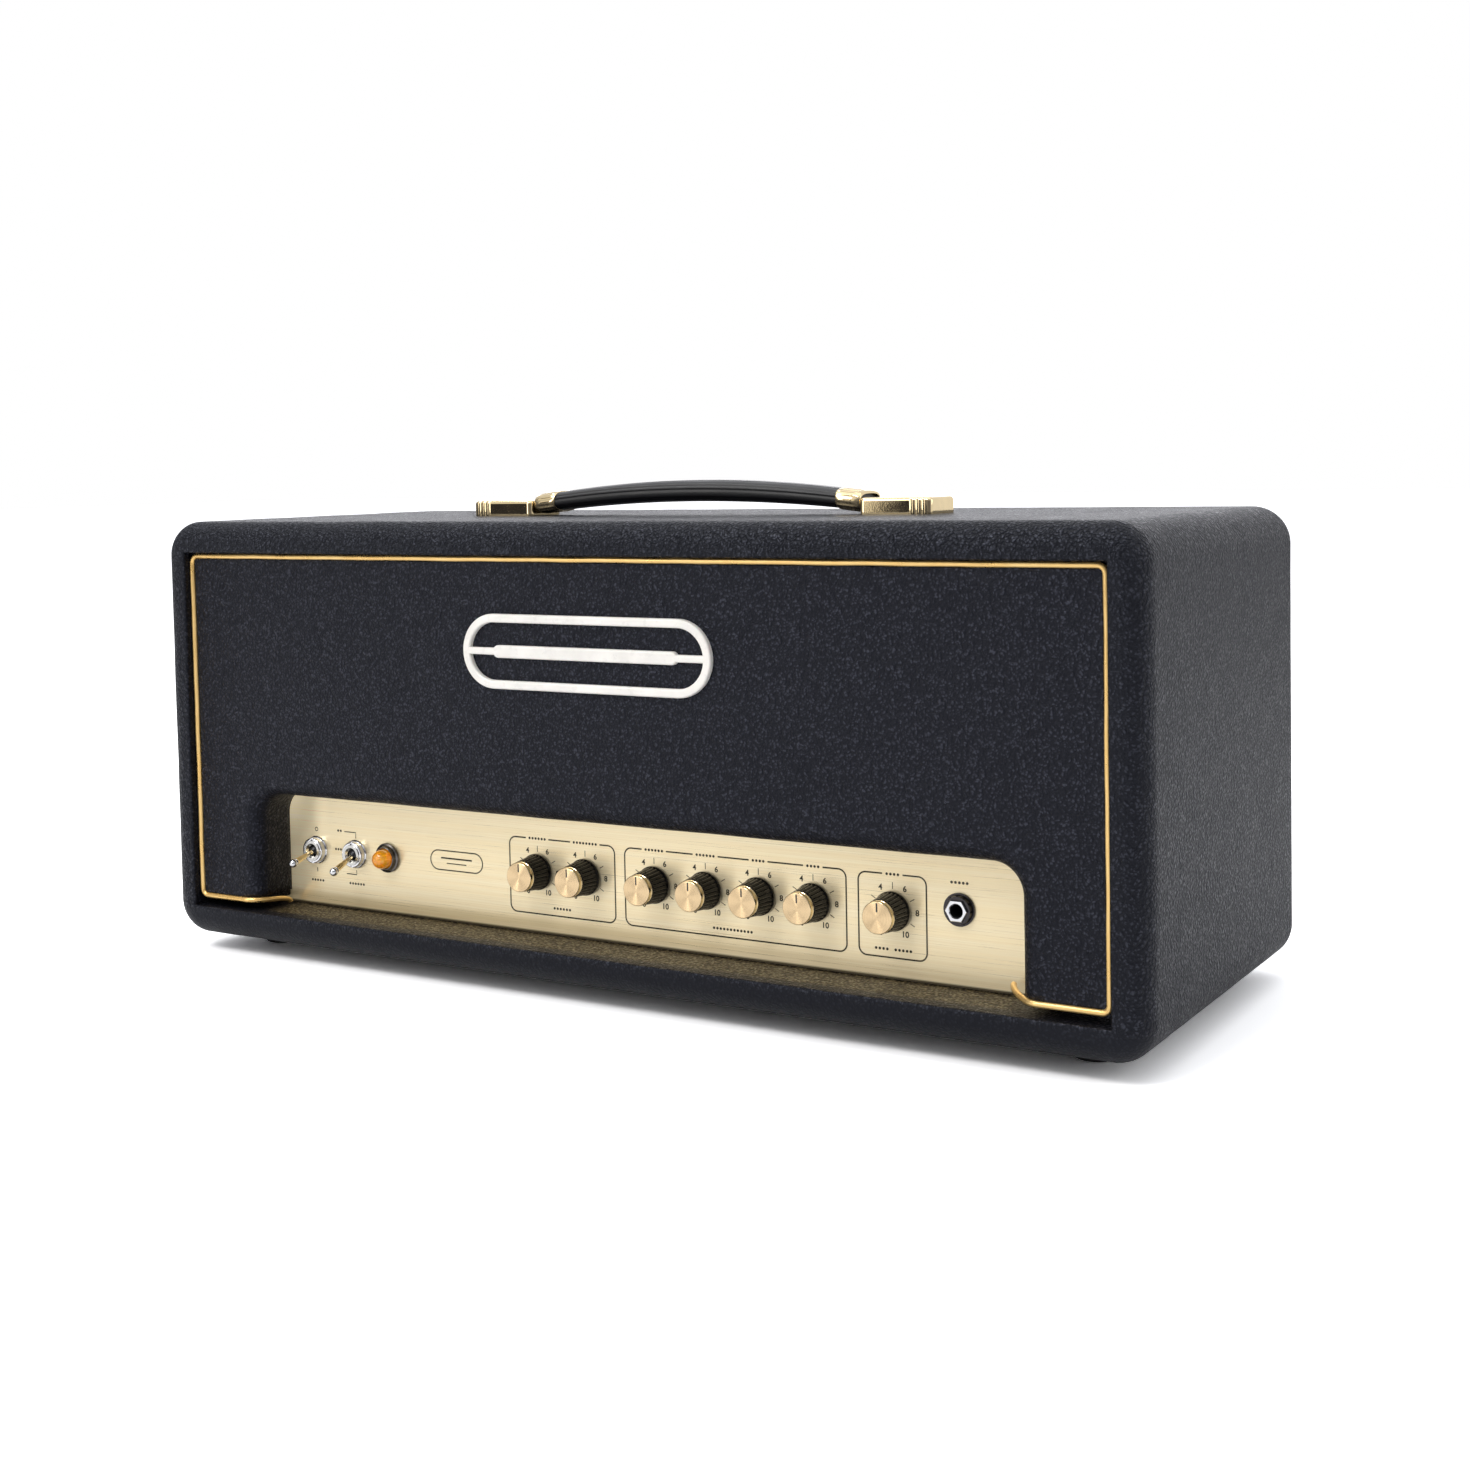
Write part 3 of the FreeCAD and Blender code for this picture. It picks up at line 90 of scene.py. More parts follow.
class Signal:
    """A node's output, which can be added, multiplied and rescaled like a number."""

    def __init__(self, graph, socket):
        self.graph = graph
        self.socket = socket

    def __add__(self, other):
        return self.graph.math("ADD", self, other)

    def __mul__(self, other):
        return self.graph.math("MULTIPLY", self, other)

    def __rsub__(self, other):
        return self.graph.math("SUBTRACT", other, self)

    def fit(self, window=(0.3, 0.7), to=(0.0, 1.0)):
        """The values inside window, stretched over to and clamped there."""
        limits = dict(enumerate((*window, *to), 1))
        return self.graph.node("MapRange", {0: self, **limits})


class Graph:
    """Short ways to add nodes to a tree. Texture scales are in repeats per metre."""

    place = None           # the coordinates a texture uses when it is given none

    def __init__(self, tree):
        self.tree = tree
        tree.nodes.clear()

    def feed(self, socket, value):
        if isinstance(value, Signal):
            self.tree.links.new(value.socket, socket)
        elif isinstance(value, tuple) and len(value) == 3 and socket.type == "RGBA":
            socket.default_value = (*value, 1.0)
        else:
            socket.default_value = value

    def new(self, kind, feeds=None, **settings):
        made = self.tree.nodes.new("ShaderNode" + kind)
        for key, value in settings.items():
            setattr(made, key, value)
        for key, value in (feeds or {}).items():
            self.feed(made.inputs[key], value)
        return made

    def node(self, kind, feeds=None, out=0, **settings):
        return Signal(self, self.new(kind, feeds, **settings).outputs[out])

    def math(self, operation, first, second=0.0):
        return self.node("Math", {0: first, 1: second}, operation=operation)

    def vector_math(self, operation, first, second):
        return self.node("VectorMath", {0: first, 1: second}, operation=operation)

    def split(self, vector):
        made = self.new("SeparateXYZ", {0: vector})
        return [Signal(self, output) for output in made.outputs]

    def mix(self, factor, first, second):
        return self.node("Mix", {0: factor, 6: first, 7: second}, out=2, data_type="RGBA")

    def ramp(self, factor, stops, interpolation="LINEAR"):
        """stops: (position, colour) pairs."""
        made = self.new("ValToRGB", {0: factor})
        made.color_ramp.interpolation = interpolation
        elements = made.color_ramp.elements
        while len(elements) > 1:
            elements.remove(elements[-1])
        elements[0].position = stops[0][0]
        elements[0].color = (*stops[0][1], 1)
        for position, color in stops[1:]:
            elements.new(position).color = (*color, 1)
        return Signal(self, made.outputs["Color"])


class Material(Graph):
    def __init__(self, name):
        material = bpy.data.materials.new(name)
        material.use_nodes = True
        super().__init__(material.node_tree)
        MATERIALS[name] = material
        output = self.new("OutputMaterial")
        self.shader = self.new("BsdfPrincipled")
        self.tree.links.new(self.shader.outputs[0], output.inputs[0])
        self.place = self.node("TexCoord", out="Object")

    def surface(self, **values):
        """Feeds the Principled shader; an underscore stands for a space."""
        for key, value in values.items():
            self.feed(self.shader.inputs[key.replace("_", " ")], value)

    def stretch(self, scale, turn=(0, 0, 0), shift=(0, 0, 0), place=None):
        return self.node("Mapping", {"Vector": place or self.place, "Scale": scale,
                                     "Rotation": turn, "Location": shift})

    def noise(self, scale, detail=3.0, rough=0.5, place=None, out="Fac"):
        return self.node("TexNoise", {"Vector": place or self.place, "Scale": scale,
                                      "Detail": detail, "Roughness": rough}, out=out)

    def cells(self, scale, place, smoothness=None):
        """Distance to the middle of Voronoi cells, with soft borders if given a smoothness."""
        feeds = {"Vector": place, "Scale": scale}
        if smoothness is None:
            return self.node("TexVoronoi", feeds, out="Distance", feature="F1")
        feeds["Smoothness"] = smoothness
        return self.node("TexVoronoi", feeds, out="Distance", feature="SMOOTH_F1")

    def waves(self, direction, scale, place=None, **feeds):
        feeds = {"Vector": place or self.place, "Scale": scale, **feeds}
        return self.node("TexWave", feeds, out="Fac", bands_direction=direction)

    def warp(self, scale, amount, place=None):
        """Coordinates pushed about by a colour noise."""
        base = place or self.place
        color = self.noise(scale, detail=2.0, place=base, out="Color")
        centred = self.vector_math("SUBTRACT", color, (0.5, 0.5, 0.5))
        push = self.node("VectorMath", {0: centred, "Scale": amount}, operation="SCALE")
        return self.vector_math("ADD", base, push)

    def bump(self, height, strength=1.0, distance=0.001, under=None):
        """A bumped normal, laid over another one if under is given."""
        feeds = {"Height": height, "Strength": strength, "Distance": distance}
        if under is not None:
            feeds["Normal"] = under
        return self.node("Bump", feeds)

    def pointiness(self):
        return self.node("NewGeometry", out="Pointiness")

    def wear(self, edge, scale, patch, amount):
        """Patches along the convex edges, where a covering has rubbed."""
        edges = self.pointiness().fit(edge)
        return edges * self.noise(scale, detail=5.0, rough=0.7).fit(patch, to=(0.0, amount))

    def radial_tangent(self):
        return self.node("Tangent", direction_type="RADIAL", axis="Y")


def dim(color, factor):
    return tuple(channel * factor for channel in color)


# ------------------------------------------------------------------ coverings and cords
def vinyl(name, base, ledge=False):
    """Black levant-grain vinyl: pebbles of uneven size, fine wrinkles, scuffed edges."""
    cell = 640.0           # pebbles per metre
    specular = 0.44
    mat = Material(name)
    grain = mat.warp(scale=230.0, amount=0.0022)
    grain = mat.warp(scale=70.0, amount=0.0040, place=grain)

    def pebbles(scale):
        distance = mat.cells(scale, grain)
        return 1.0 - distance * distance * 1.6

    wrinkles = mat.noise(cell * 0.8, detail=2.0, place=grain)
    height = pebbles(cell) * 0.60 + pebbles(cell * 2.2) * 0.12 + wrinkles * 0.75
    crest = height.fit((0.84, 1.12))
    relief = height
    if ledge:
        relief, crest = ease_edges(mat, height, crest)
    # painted highlight and shade: the pebble tops are made lighter and the creases darker,
    # standing in for the glints and shade of the grain
    tone = mat.mix(crest, dim(base, 0.75), dim(base, 3.4))
    tone = mat.mix(mat.noise(9.0, rough=0.6).fit(to=(0.0, 0.35)), tone, base)
    scuff = mat.wear(edge=(0.505, 0.56), scale=90.0, patch=(0.5, 0.75), amount=0.30)
    tone = mat.mix(scuff, tone, (0.030, 0.030, 0.034))
    if ledge:
        # the ledge's painted reflection of the gold panel
        tone = gild_ledge(mat, height, tone)
    patches = mat.noise(60.0, detail=4.0, rough=0.6).fit(to=(0.28, 0.34))
    mat.surface(Base_Color=tone,
                Roughness=patches + crest.fit((0.0, 1.0), to=(0.16, -0.02)),
                Normal=mat.bump(relief, distance=0.00052),
                Specular_IOR_Level=crest.fit((0.0, 1.0), to=(specular * 0.55, specular * 1.3)),
                Specular_Tint=(0.76, 0.81, 1.0))


def ease_edges(mat, height, crest):
    """Smooths the grain round the bottom front edge, with fewer pebble tops painted light there,
    and coarsens it over the top front one.
    """
    _, y, z = mat.split(mat.place)
    lip = z.fit((0.0240, 0.0275), FALL) * y.fit((-0.112, -0.098), FALL)
    brow = z.fit((0.234, 0.243)) * y.fit((-0.104, -0.086), FALL)
    gain = lip * -0.72 + brow * 0.75
    return height * (gain + 1.0), crest * (1.0 - lip * 0.75)


def gild_ledge(mat, height, tone):
    """Paints on the ledge below the control panel the gold light it reflects from the panel: a
    painted reflection, lighter on the pebble tops.
    """
    x, y, z = mat.split(mat.place)
    ledge = y.fit((-0.1125, -0.1085)) * y.fit((-0.085, -0.083), FALL)
    ledge = ledge * z.fit((0.0300, 0.0312), FALL)
    ledge = ledge * mat.math("ABSOLUTE", x).fit((0.226, 0.238), FALL)
    ledge = ledge * z.fit((0.018, 0.022))
    lit = mat.mix(height.fit((0.62, 1.05)), (0.018, 0.013, 0.006), (0.155, 0.118, 0.055))
    return mat.mix(ledge, tone, lit)


def strap_skin():
    """Satin black moulded strap with a faint grain."""
    mat = Material("strap_vinyl")
    grain = mat.cells(900.0, mat.warp(scale=300.0, amount=0.0015), smoothness=0.5)
    under = mat.bump(grain, strength=0.5, distance=0.00007)
    color = mat.mix(mat.noise(25.0, detail=4.0).fit(),
                    (0.010, 0.010, 0.011), (0.016, 0.016, 0.018))
    rubbed = mat.wear(edge=(0.51, 0.57), scale=160.0, patch=(0.45, 0.7), amount=0.5)
    mat.surface(Base_Color=mat.mix(rubbed, color, (0.06, 0.06, 0.06)),
                Roughness=mat.noise(70.0, detail=5.0).fit(to=(0.30, 0.44)),
                Normal=mat.bump(mat.noise(3800.0), 0.25, 0.00005, under),
                Specular_IOR_Level=0.5)


def gold_cord():
    """Metallised gold piping with the fine wrinkles of a drawn cord."""
    mat = Material("gold_piping")
    wrinkles = mat.noise(420.0, detail=4.0, rough=0.6)
    patches = mat.noise(45.0, detail=4.0, rough=0.6)
    mat.surface(Base_Color=mat.mix(patches.fit(), (0.80, 0.50, 0.16), (0.92, 0.64, 0.26)),
                Metallic=0.82, Roughness=patches.fit(to=(0.24, 0.36)),
                Normal=mat.bump(wrinkles, strength=0.5, distance=0.00009),
                Coat_Weight=0.25, Coat_Roughness=0.15)


def rubber(name, color):
    mat = Material(name)
    patches = mat.noise(80.0, detail=5.0, rough=0.7).fit((0.35, 0.7))
    grain = mat.noise(1800.0, detail=4.0, rough=0.7)
    mat.surface(Base_Color=mat.mix(patches, color, dim(color, 2.2)),
                Roughness=mat.noise(200.0, detail=5.0).fit(to=(0.55, 0.8)),
                Normal=mat.bump(grain, strength=0.7, distance=0.0001))


# ------------------------------------------------------------------ metals
def metal(name, color, rough, spread, depth, recess=None, worn=0.0, scale=900.0, aniso=0.0):
    """Plated or polished metal with scratches of the given depth and a slight change of tone.

    The roughness wanders by spread either side of rough. recess is the colour of a painted shade
    in the hollows.
    """
    mat = Material(name)
    grain = mat.noise(scale, detail=4.0, rough=0.6)
    scratches = mat.noise(scale * 2.7, detail=2.0,
                          place=mat.stretch((1, 6, 1), turn=(0.4, 0.9, 0.2)))
    patches = mat.noise(60.0, detail=4.0, rough=0.6).fit()
    tone = mat.mix(patches, color, dim(color, 0.86))
    # painted shade: the hollows are darkened towards the recess colour
    if recess is not None:
        tone = mat.mix(mat.pointiness().fit((0.44, 0.495), to=(0.8, 0.0)), tone, recess)
    limits = (max(0.02, rough - spread), rough + spread)
    roughness = mat.noise(150.0, detail=5.0, rough=0.65).fit((0.25, 0.75), to=limits)
    if worn:
        spots = mat.noise(420.0, detail=6.0, rough=0.7)
        roughness = roughness + spots.fit((0.55, 0.75), to=(0.0, worn))
    mat.surface(Base_Color=tone, Metallic=1.0, Roughness=roughness,
                Normal=mat.bump(grain + scratches * 0.5, distance=depth))
    if aniso:
        mat.surface(Anisotropic=aniso, Tangent=mat.radial_tangent())


def brushed_panel():
    """Pale gold anodised sheet, brushed along X."""
    mat = Material("gold_panel")
    long_lines = mat.noise(1.0, rough=0.6, place=mat.stretch((9.0, 900.0, 2600.0)))
    fine_lines = mat.noise(1.0, detail=5.0, rough=0.7,
                           place=mat.stretch((30.0, 900.0, 7000.0), shift=(3, 1, 2)))
    broad = mat.noise(1.0, detail=2.0,
                      place=mat.stretch((4.0, 100.0, 420.0), shift=(7, 2, 5)))
    lines = long_lines * 0.55 + fine_lines * 0.45
    tone = mat.mix(lines.fit((0.38, 0.62)), (0.865, 0.72, 0.455), (0.985, 0.87, 0.615))
    tone = mat.mix(broad.fit((0.35, 0.65), to=(0.0, 0.35)), tone, (0.93, 0.75, 0.43))
    # the lowest few millimetres stand in the ledge's shade
    x, _, z = mat.split(mat.place)
    shade = z.fit((0.0345, 0.0372), to=(0.42, 0.0)) * x.fit((-0.14, 0.20), to=(1.0, 0.35))
    tone = mat.mix(shade, tone, (0.50, 0.36, 0.13))
    # a near-black painted shade along the very foot of the panel, where it meets the ledge
    tone = mat.mix(z.fit((0.0293, 0.0302), to=(0.93, 0.0)), tone, (0.030, 0.022, 0.010))
    # painted light: an emission at the left end, stronger higher up, that lifts the shade the
    # opening's left side throws there
    painted_fill_light = x.fit((-0.240, -0.206), to=(0.20, 0.0)) * z.fit((0.034, 0.040), to=(0.5, 1.0))
    painted_fill_light = painted_fill_light * z.fit((0.064, 0.090), to=(1.0, 3.0))
    mat.surface(Base_Color=tone, Metallic=0.56, Roughness=lines.fit(to=(0.25, 0.36)),
                Normal=mat.bump(lines, strength=0.2, distance=0.00004),
                Anisotropic=0.75, Tangent=mat.node("CombineXYZ", {2: 1.0}),
                Emission_Color=tone, Emission_Strength=painted_fill_light)


def spun_gold():
    """Turned gold cap face: rings round the axis that throw a fan of light."""
    mat = Material("gold_spun")
    centred = mat.vector_math("SUBTRACT", mat.node("TexCoord", out="Generated"),
                              (0.5, 0.5, 0.5))
    x, _, z = mat.split(centred)
    radius = mat.math("SQRT", x * x + z * z)
    rings = mat.noise(120.0, detail=4.0, rough=0.7, place=mat.node("CombineXYZ", {0: radius}))
    mat.surface(Base_Color=mat.mix(rings.fit(), (0.70, 0.50, 0.28), (0.90, 0.69, 0.42)),
                Metallic=1.0, Roughness=rings.fit(to=(0.24, 0.32)),
                Anisotropic=0.97, Anisotropic_Rotation=0.25, Tangent=mat.radial_tangent(),
                Normal=mat.bump(rings, strength=0.2, distance=0.00001))


def laminations():
    mat = Material("laminated_steel")
    sheets = mat.waves("Y", scale=320.0, Distortion=0.6)
    mat.surface(Base_Color=mat.mix(sheets, (0.05, 0.048, 0.047), (0.16, 0.155, 0.15)),
                Metallic=0.7, Roughness=mat.noise(120.0, detail=5.0).fit(to=(0.35, 0.6)),
                Normal=mat.bump(sheets, strength=0.7, distance=0.0002))


# ------------------------------------------------------------------ plastics, paint and the rest
def plastic(name, color, rough, spread=0.1, depth=0.00003, scale=1600.0, coat=0.0,
            subsurface=0.0, edge=None, specular=0.5):
    """Moulded plastic with a grain of the given depth; edge is the tone of rubbed edges."""
    mat = Material(name)
    grain = mat.noise(scale, rough=0.6)
    patches = mat.noise(50.0, detail=4.0, rough=0.6).fit()
    tone = mat.mix(patches, color, dim(color, 0.85))
    if edge is not None:
        rubbed = mat.wear(edge=(0.51, 0.57), scale=500.0, patch=(0.45, 0.7), amount=0.8)
        tone = mat.mix(rubbed, tone, edge)
    limits = (max(0.03, rough - spread), rough + spread)
    roughness = mat.noise(220.0, detail=5.0, rough=0.6).fit((0.25, 0.75), to=limits)
    mat.surface(Base_Color=tone, Roughness=roughness,
                Normal=mat.bump(grain, strength=0.6, distance=depth),
                Coat_Weight=coat, Coat_Roughness=0.08, Specular_IOR_Level=specular)
    if subsurface:
        mat.surface(Subsurface_Weight=subsurface, Subsurface_Scale=0.002)


def painted(name, color, rough):
    """Powder coat with orange peel over sheet steel."""
    mat = Material(name)
    peel = mat.cells(1500.0, mat.warp(scale=400.0, amount=0.001), smoothness=0.8)
    under = mat.bump(peel, strength=0.8, distance=0.00012)
    fine = mat.noise(4200.0, rough=0.6)
    patches = mat.noise(30.0, detail=4.0, rough=0.6).fit()
    tone = mat.mix(patches, color, dim(color, 1.5))
    rubbed = mat.wear(edge=(0.515, 0.58), scale=300.0, patch=(0.5, 0.7), amount=0.8)
    roughness = mat.noise(90.0, detail=5.0, rough=0.6).fit(to=(rough - 0.08, rough + 0.1))
    mat.surface(Base_Color=mat.mix(rubbed, tone, (0.22, 0.22, 0.23)), Roughness=roughness,
                Normal=mat.bump(fine, 0.4, 0.00004, under))


def plywood():
    mat = Material("plywood")
    fibres = mat.stretch((14.0, 14.0, 300.0), place=mat.warp(scale=9.0, amount=0.01))
    grain = mat.noise(1.0, detail=5.0, rough=0.65, place=fibres)
    rings = mat.waves("X", scale=110.0, place=mat.warp(scale=12.0, amount=0.02),
                      Distortion=5.0, Detail=3.0)
    figure = grain * 0.6 + rings * 0.4
    stops = [(0.2, (0.30, 0.19, 0.10)), (0.5, (0.52, 0.37, 0.22)), (0.8, (0.66, 0.50, 0.32))]
    mat.surface(Base_Color=mat.ramp(figure, stops),
                Roughness=figure.fit((0.2, 0.8), to=(0.75, 0.55)),
                Normal=mat.bump(figure, strength=0.5, distance=0.0002))


def valve_glass():
    mat = Material("valve_glass")
    mat.surface(Base_Color=(0.97, 0.985, 0.98),
                Roughness=mat.noise(80.0, detail=4.0).fit(to=(0.0, 0.04)),
                Transmission_Weight=1.0, IOR=1.47,
                Normal=mat.bump(mat.noise(120.0, detail=2.0), strength=0.2, distance=0.0001))


def amber_lens():
    """Amber plastic with radial ridges round the lamp's axis."""
    ridges = 14.0
    mat = Material("amber_lens")
    middle = tuple(point(LAMP_X, 26.0, LAMP_Z))
    x, _, z = mat.split(mat.vector_math("SUBTRACT", mat.place, middle))
    ridge = mat.math("SINE", mat.math("ARCTAN2", z, x) * ridges)
    # painted shade: the lens is coloured darker towards its rim, where it is seen edge-on
    facing = mat.node("LayerWeight", {"Blend": 0.35}, out="Facing")
    tone = mat.mix(facing.fit((0.0, 0.9)), (1.0, 0.57, 0.035), (0.72, 0.31, 0.008))
    tone = mat.mix(ridge.fit((-1, 1), to=(0.0, 0.22)), tone, (0.75, 0.32, 0.01))
    mat.surface(Base_Color=tone, Roughness=mat.noise(300.0).fit(to=(0.02, 0.05)),
                Transmission_Weight=0.55, IOR=1.49,
                Emission_Color=(1.0, 0.52, 0.02), Emission_Strength=0.06,
                Normal=mat.bump(ridge + mat.noise(300.0, detail=1.0),
                                strength=0.24, distance=0.0002),
                Coat_Weight=1.0, Coat_Roughness=0.02)


def lamp_glow():
    mat = Material("lamp_glow")
    color = (1.0, 0.46, 0.04)
    flicker = mat.noise(900.0, detail=2.0).fit(to=(0.8, 1.1))
    mat.surface(Base_Color=color, Emission_Color=color, Emission_Strength=flicker * 0.7,
                Roughness=0.3)


def circuit_board():
    mat = Material("circuit_board")
    tracks = mat.node("TexBrick", {"Vector": mat.place, "Scale": 90.0, "Mortar Size": 0.03},
                      out="Fac")
    mat.surface(Base_Color=mat.mix(tracks, (0.015, 0.09, 0.035), (0.03, 0.16, 0.06)),
                Roughness=mat.noise(200.0).fit(to=(0.25, 0.45)),
                Normal=mat.bump(tracks, strength=0.4, distance=0.0001))


def varnished_winding():
    mat = Material("winding_tape")
    turns = mat.waves("Z", scale=60.0, place=mat.warp(scale=40.0, amount=0.0015))
    mat.surface(Base_Color=mat.mix(turns, (0.55, 0.38, 0.08), (0.70, 0.52, 0.16)),
                Roughness=mat.noise(120.0, detail=5.0).fit(to=(0.25, 0.5)),
                Normal=mat.bump(turns, strength=0.5, distance=0.0003), Coat_Weight=0.3)


vinyl("black_vinyl", base=(0.0040, 0.0041, 0.0058), ledge=True)
vinyl("black_vinyl_front", base=(0.0040, 0.0040, 0.0062))
brushed_panel()
spun_gold()
# a spare finish that no piece wears
metal("gold_plate", (0.86, 0.67, 0.37), rough=0.085, spread=0.04, depth=0.00003,
      recess=(0.16, 0.09, 0.03))
metal("gold_polished", (0.92, 0.74, 0.44), rough=0.045, spread=0.02, depth=0.000006,
      scale=500.0)
metal("chrome_plate", (0.80, 0.80, 0.82), rough=0.07, spread=0.03, depth=0.00002,
      recess=(0.12, 0.12, 0.13))
# chrome painted with the gold of the panel it reflects: a painted reflection, worn by the levers'
# stems
metal("chrome_painted_gold_reflection", (0.90, 0.72, 0.42), rough=0.06, spread=0.02, depth=0.00001,
      scale=500.0)
metal("nickel_plate", (0.62, 0.61, 0.58), rough=0.2, spread=0.08, depth=0.00005,
      recess=(0.1, 0.1, 0.1))
metal("dark_chrome", (0.16, 0.145, 0.135), rough=0.12, spread=0.04, depth=0.00005, aniso=0.5)
metal("black_nickel", (0.055, 0.05, 0.052), rough=0.18, spread=0.06, depth=0.00004)
metal("zinc_steel", (0.55, 0.56, 0.56), rough=0.3, spread=0.1, depth=0.00006, worn=0.2)
metal("black_oxide_steel", (0.05, 0.05, 0.052), rough=0.34, spread=0.1, depth=0.00006,
      worn=0.2)
plastic("black_knob_plastic", (0.0026, 0.0024, 0.0026), rough=0.08, spread=0.03,
        depth=0.00001, scale=2200.0, specular=0.36)
plastic("cream_badge_plastic", (0.90, 0.875, 0.825), rough=0.30, spread=0.08,
        depth=0.00004, scale=1500.0, coat=0.2, subsurface=0.05)
plastic("black_moulded_plastic", (0.010, 0.010, 0.011), rough=0.34, depth=0.00006,
        scale=1700.0, edge=(0.07, 0.07, 0.07))
plastic("olive_ink", (0.040, 0.032, 0.014), rough=0.5, depth=0.00001, scale=3000.0,
        specular=0.3)
plastic("pale_ink", (0.62, 0.60, 0.55), rough=0.55, depth=0.00001, scale=3000.0)
painted("black_grille_paint", (0.012, 0.012, 0.013), rough=0.42)
painted("black_chassis_paint", (0.016, 0.016, 0.017), rough=0.40)
plywood()
valve_glass()
amber_lens()
lamp_glow()
circuit_board()
laminations()
varnished_winding()
strap_skin()
gold_cord()
rubber("black_rubber", (0.012, 0.012, 0.012))
rubber("cable_jacket", (0.02, 0.02, 0.022))
metal("valve_plate_metal", (0.13, 0.13, 0.135), rough=0.45, spread=0.1, depth=0.00008)
plastic("brown_phenolic", (0.035, 0.018, 0.009), rough=0.4, depth=0.00008, scale=900.0)
plastic("capacitor_sleeve", (0.02, 0.035, 0.10), rough=0.35, spread=0.08, depth=0.00004,
        scale=900.0)


# ------------------------------------------------------------------ adding pieces
def add(name, mesh, material, replaces=None, body="cabinet", bevel=0.0, angle=32.0,
        segments=2):
    """Shows a mesh as a piece that rides a body; edges sharper than angle (degrees) stay hard."""
    mesh.materials.clear()
    mesh.materials.append(MATERIALS[material])
    mesh.polygons.foreach_set("use_smooth", [True] * len(mesh.polygons))
    mesh.set_sharp_from_angle(angle=math.radians(angle))
    mesh.update()
    piece = bpy.data.objects.new(name, mesh)
    SCENE.collection.objects.link(piece)
    if bevel:
        edge = piece.modifiers.new("edge", "BEVEL")
        edge.width = bevel * 1e-3
        edge.segments = segments
        edge.limit_method = "ANGLE"
        edge.angle_limit = math.radians(angle)
        edge.harden_normals = True
    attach(piece, body)
    if replaces:
        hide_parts(replaces)
    return piece


def build(name, shape, material, **options):
    """Adds a piece from a (verts, faces) shape, with its normals made to agree."""
    verts, faces = shape
    bm = bmesh.new()
    made = [bm.verts.new(vert) for vert in verts]
    for face in faces:
        try:
            bm.faces.new([made[i] for i in face])
        except ValueError:
            # a letter's mesh may hold the same face twice
            pass
    bmesh.ops.remove_doubles(bm, verts=bm.verts, dist=1e-8)
    bmesh.ops.recalc_face_normals(bm, faces=bm.faces)
    mesh = bpy.data.meshes.new(name)
    bm.to_mesh(mesh)
    bm.free()
    return add(name, mesh, material, **options)


def show(node, material, bevel, body="cabinet", segments=2):
    """Adds a welded copy of a CAD node's mesh, with no stored normals."""
    bm = bmesh.new()
    bm.from_mesh(NODES[node].data)
    bmesh.ops.remove_doubles(bm, verts=bm.verts, dist=2e-6)
    bmesh.ops.dissolve_degenerate(bm, edges=bm.edges, dist=1e-7)
    mesh = bpy.data.meshes.new(node + "_mesh")
    bm.to_mesh(mesh)
    bm.free()
    for name in ("custom_normal", "sharp_edge", "sharp_face"):
        if name in mesh.attributes:
            mesh.attributes.remove(mesh.attributes[name])
    add(node + "_shown", mesh, material, node, body, bevel, segments=segments)


def dress(node, material):
    """Gives a CAD node's own mesh a single material."""
    mesh = NODES[node].data
    mesh.materials.clear()
    mesh.materials.append(MATERIALS[material])
    return mesh


def paint_faces(piece, material, chosen):
    """Gives a second material to the faces that chosen() accepts."""
    mesh = piece.data
    mesh.materials.append(MATERIALS[material])
    for face in mesh.polygons:
        if chosen(face):
            face.material_index = len(mesh.materials) - 1


# ------------------------------------------------------------------ outlines and shapes
def arc(x, z, radius, start, end, steps=8):
    """steps + 1 points on an arc, with its angles in degrees."""
    angles = [math.radians(start + (end - start) * i / steps) for i in range(steps + 1)]
    return [(x + radius * math.cos(a), z + radius * math.sin(a)) for a in angles]


def spaced(start, end, steps):
    """Even points from start up to, but without, end."""
    return [tuple(a + (b - a) * i / steps for a, b in zip(start, end)) for i in range(steps)]


def subdivided(corners, step):
    """Points about a step apart along a line through corners, both ends included."""
    line = []
    for start, end in zip(corners, corners[1:]):
        length = math.hypot(end[0] - start[0], end[1] - start[1])
        line += spaced(start, end, max(1, int(round(length / step))))
    return line + [corners[-1]]


def side_counts(width, height, radius, step):
    """How many steps fit a rounded rectangle's level and upright sides."""
    return int((width - 2 * radius) / step), int((height - 2 * radius) / step)


def rounded_rect(x0, x1, z0, z1, radius, corner_steps, counts, first=0):
    """Points round a rectangle, from the lower +X corner (first=0) or the upper one (first=1)."""
    left, right, low, high = x0 + radius, x1 - radius, z0 + radius, z1 - radius
    centers = [(right, low, -90), (right, high, 0), (left, high, 90), (left, low, 180)]
    corners = [arc(x, z, radius, start, start + 90, corner_steps) for x, z, start in centers]
    outline = []
    for i in range(first, first + 4):
        corner, following = corners[i % 4], corners[(i + 1) % 4]
        outline += corner[:-1] + spaced(corner[-1], following[0], counts[(i + 1) % 2])
    return outline


def quads(rings, size, wrap=False):
    """Faces between rings of size points each; wrap joins the last ring to the first."""
    faces = []
    for i in range(rings if wrap else rings - 1):
        near, far = i * size, (i + 1) % rings * size
        for k in range(size):
            after = (k + 1) % size
            faces.append((near + k, near + after, far + after, far + k))
    return faces


def ends(rings, size):
    """Faces that close the first and last ring."""
    return [tuple(range(size)), tuple(range((rings - 1) * size, rings * size))]


def joined(shapes):
    """Several (verts, faces) shapes as one."""
    all_verts, all_faces = [], []
    for verts, faces in shapes:
        base = len(all_verts)
        all_verts.extend(verts)
        all_faces.extend(tuple(i + base for i in face) for face in faces)
    return all_verts, all_faces


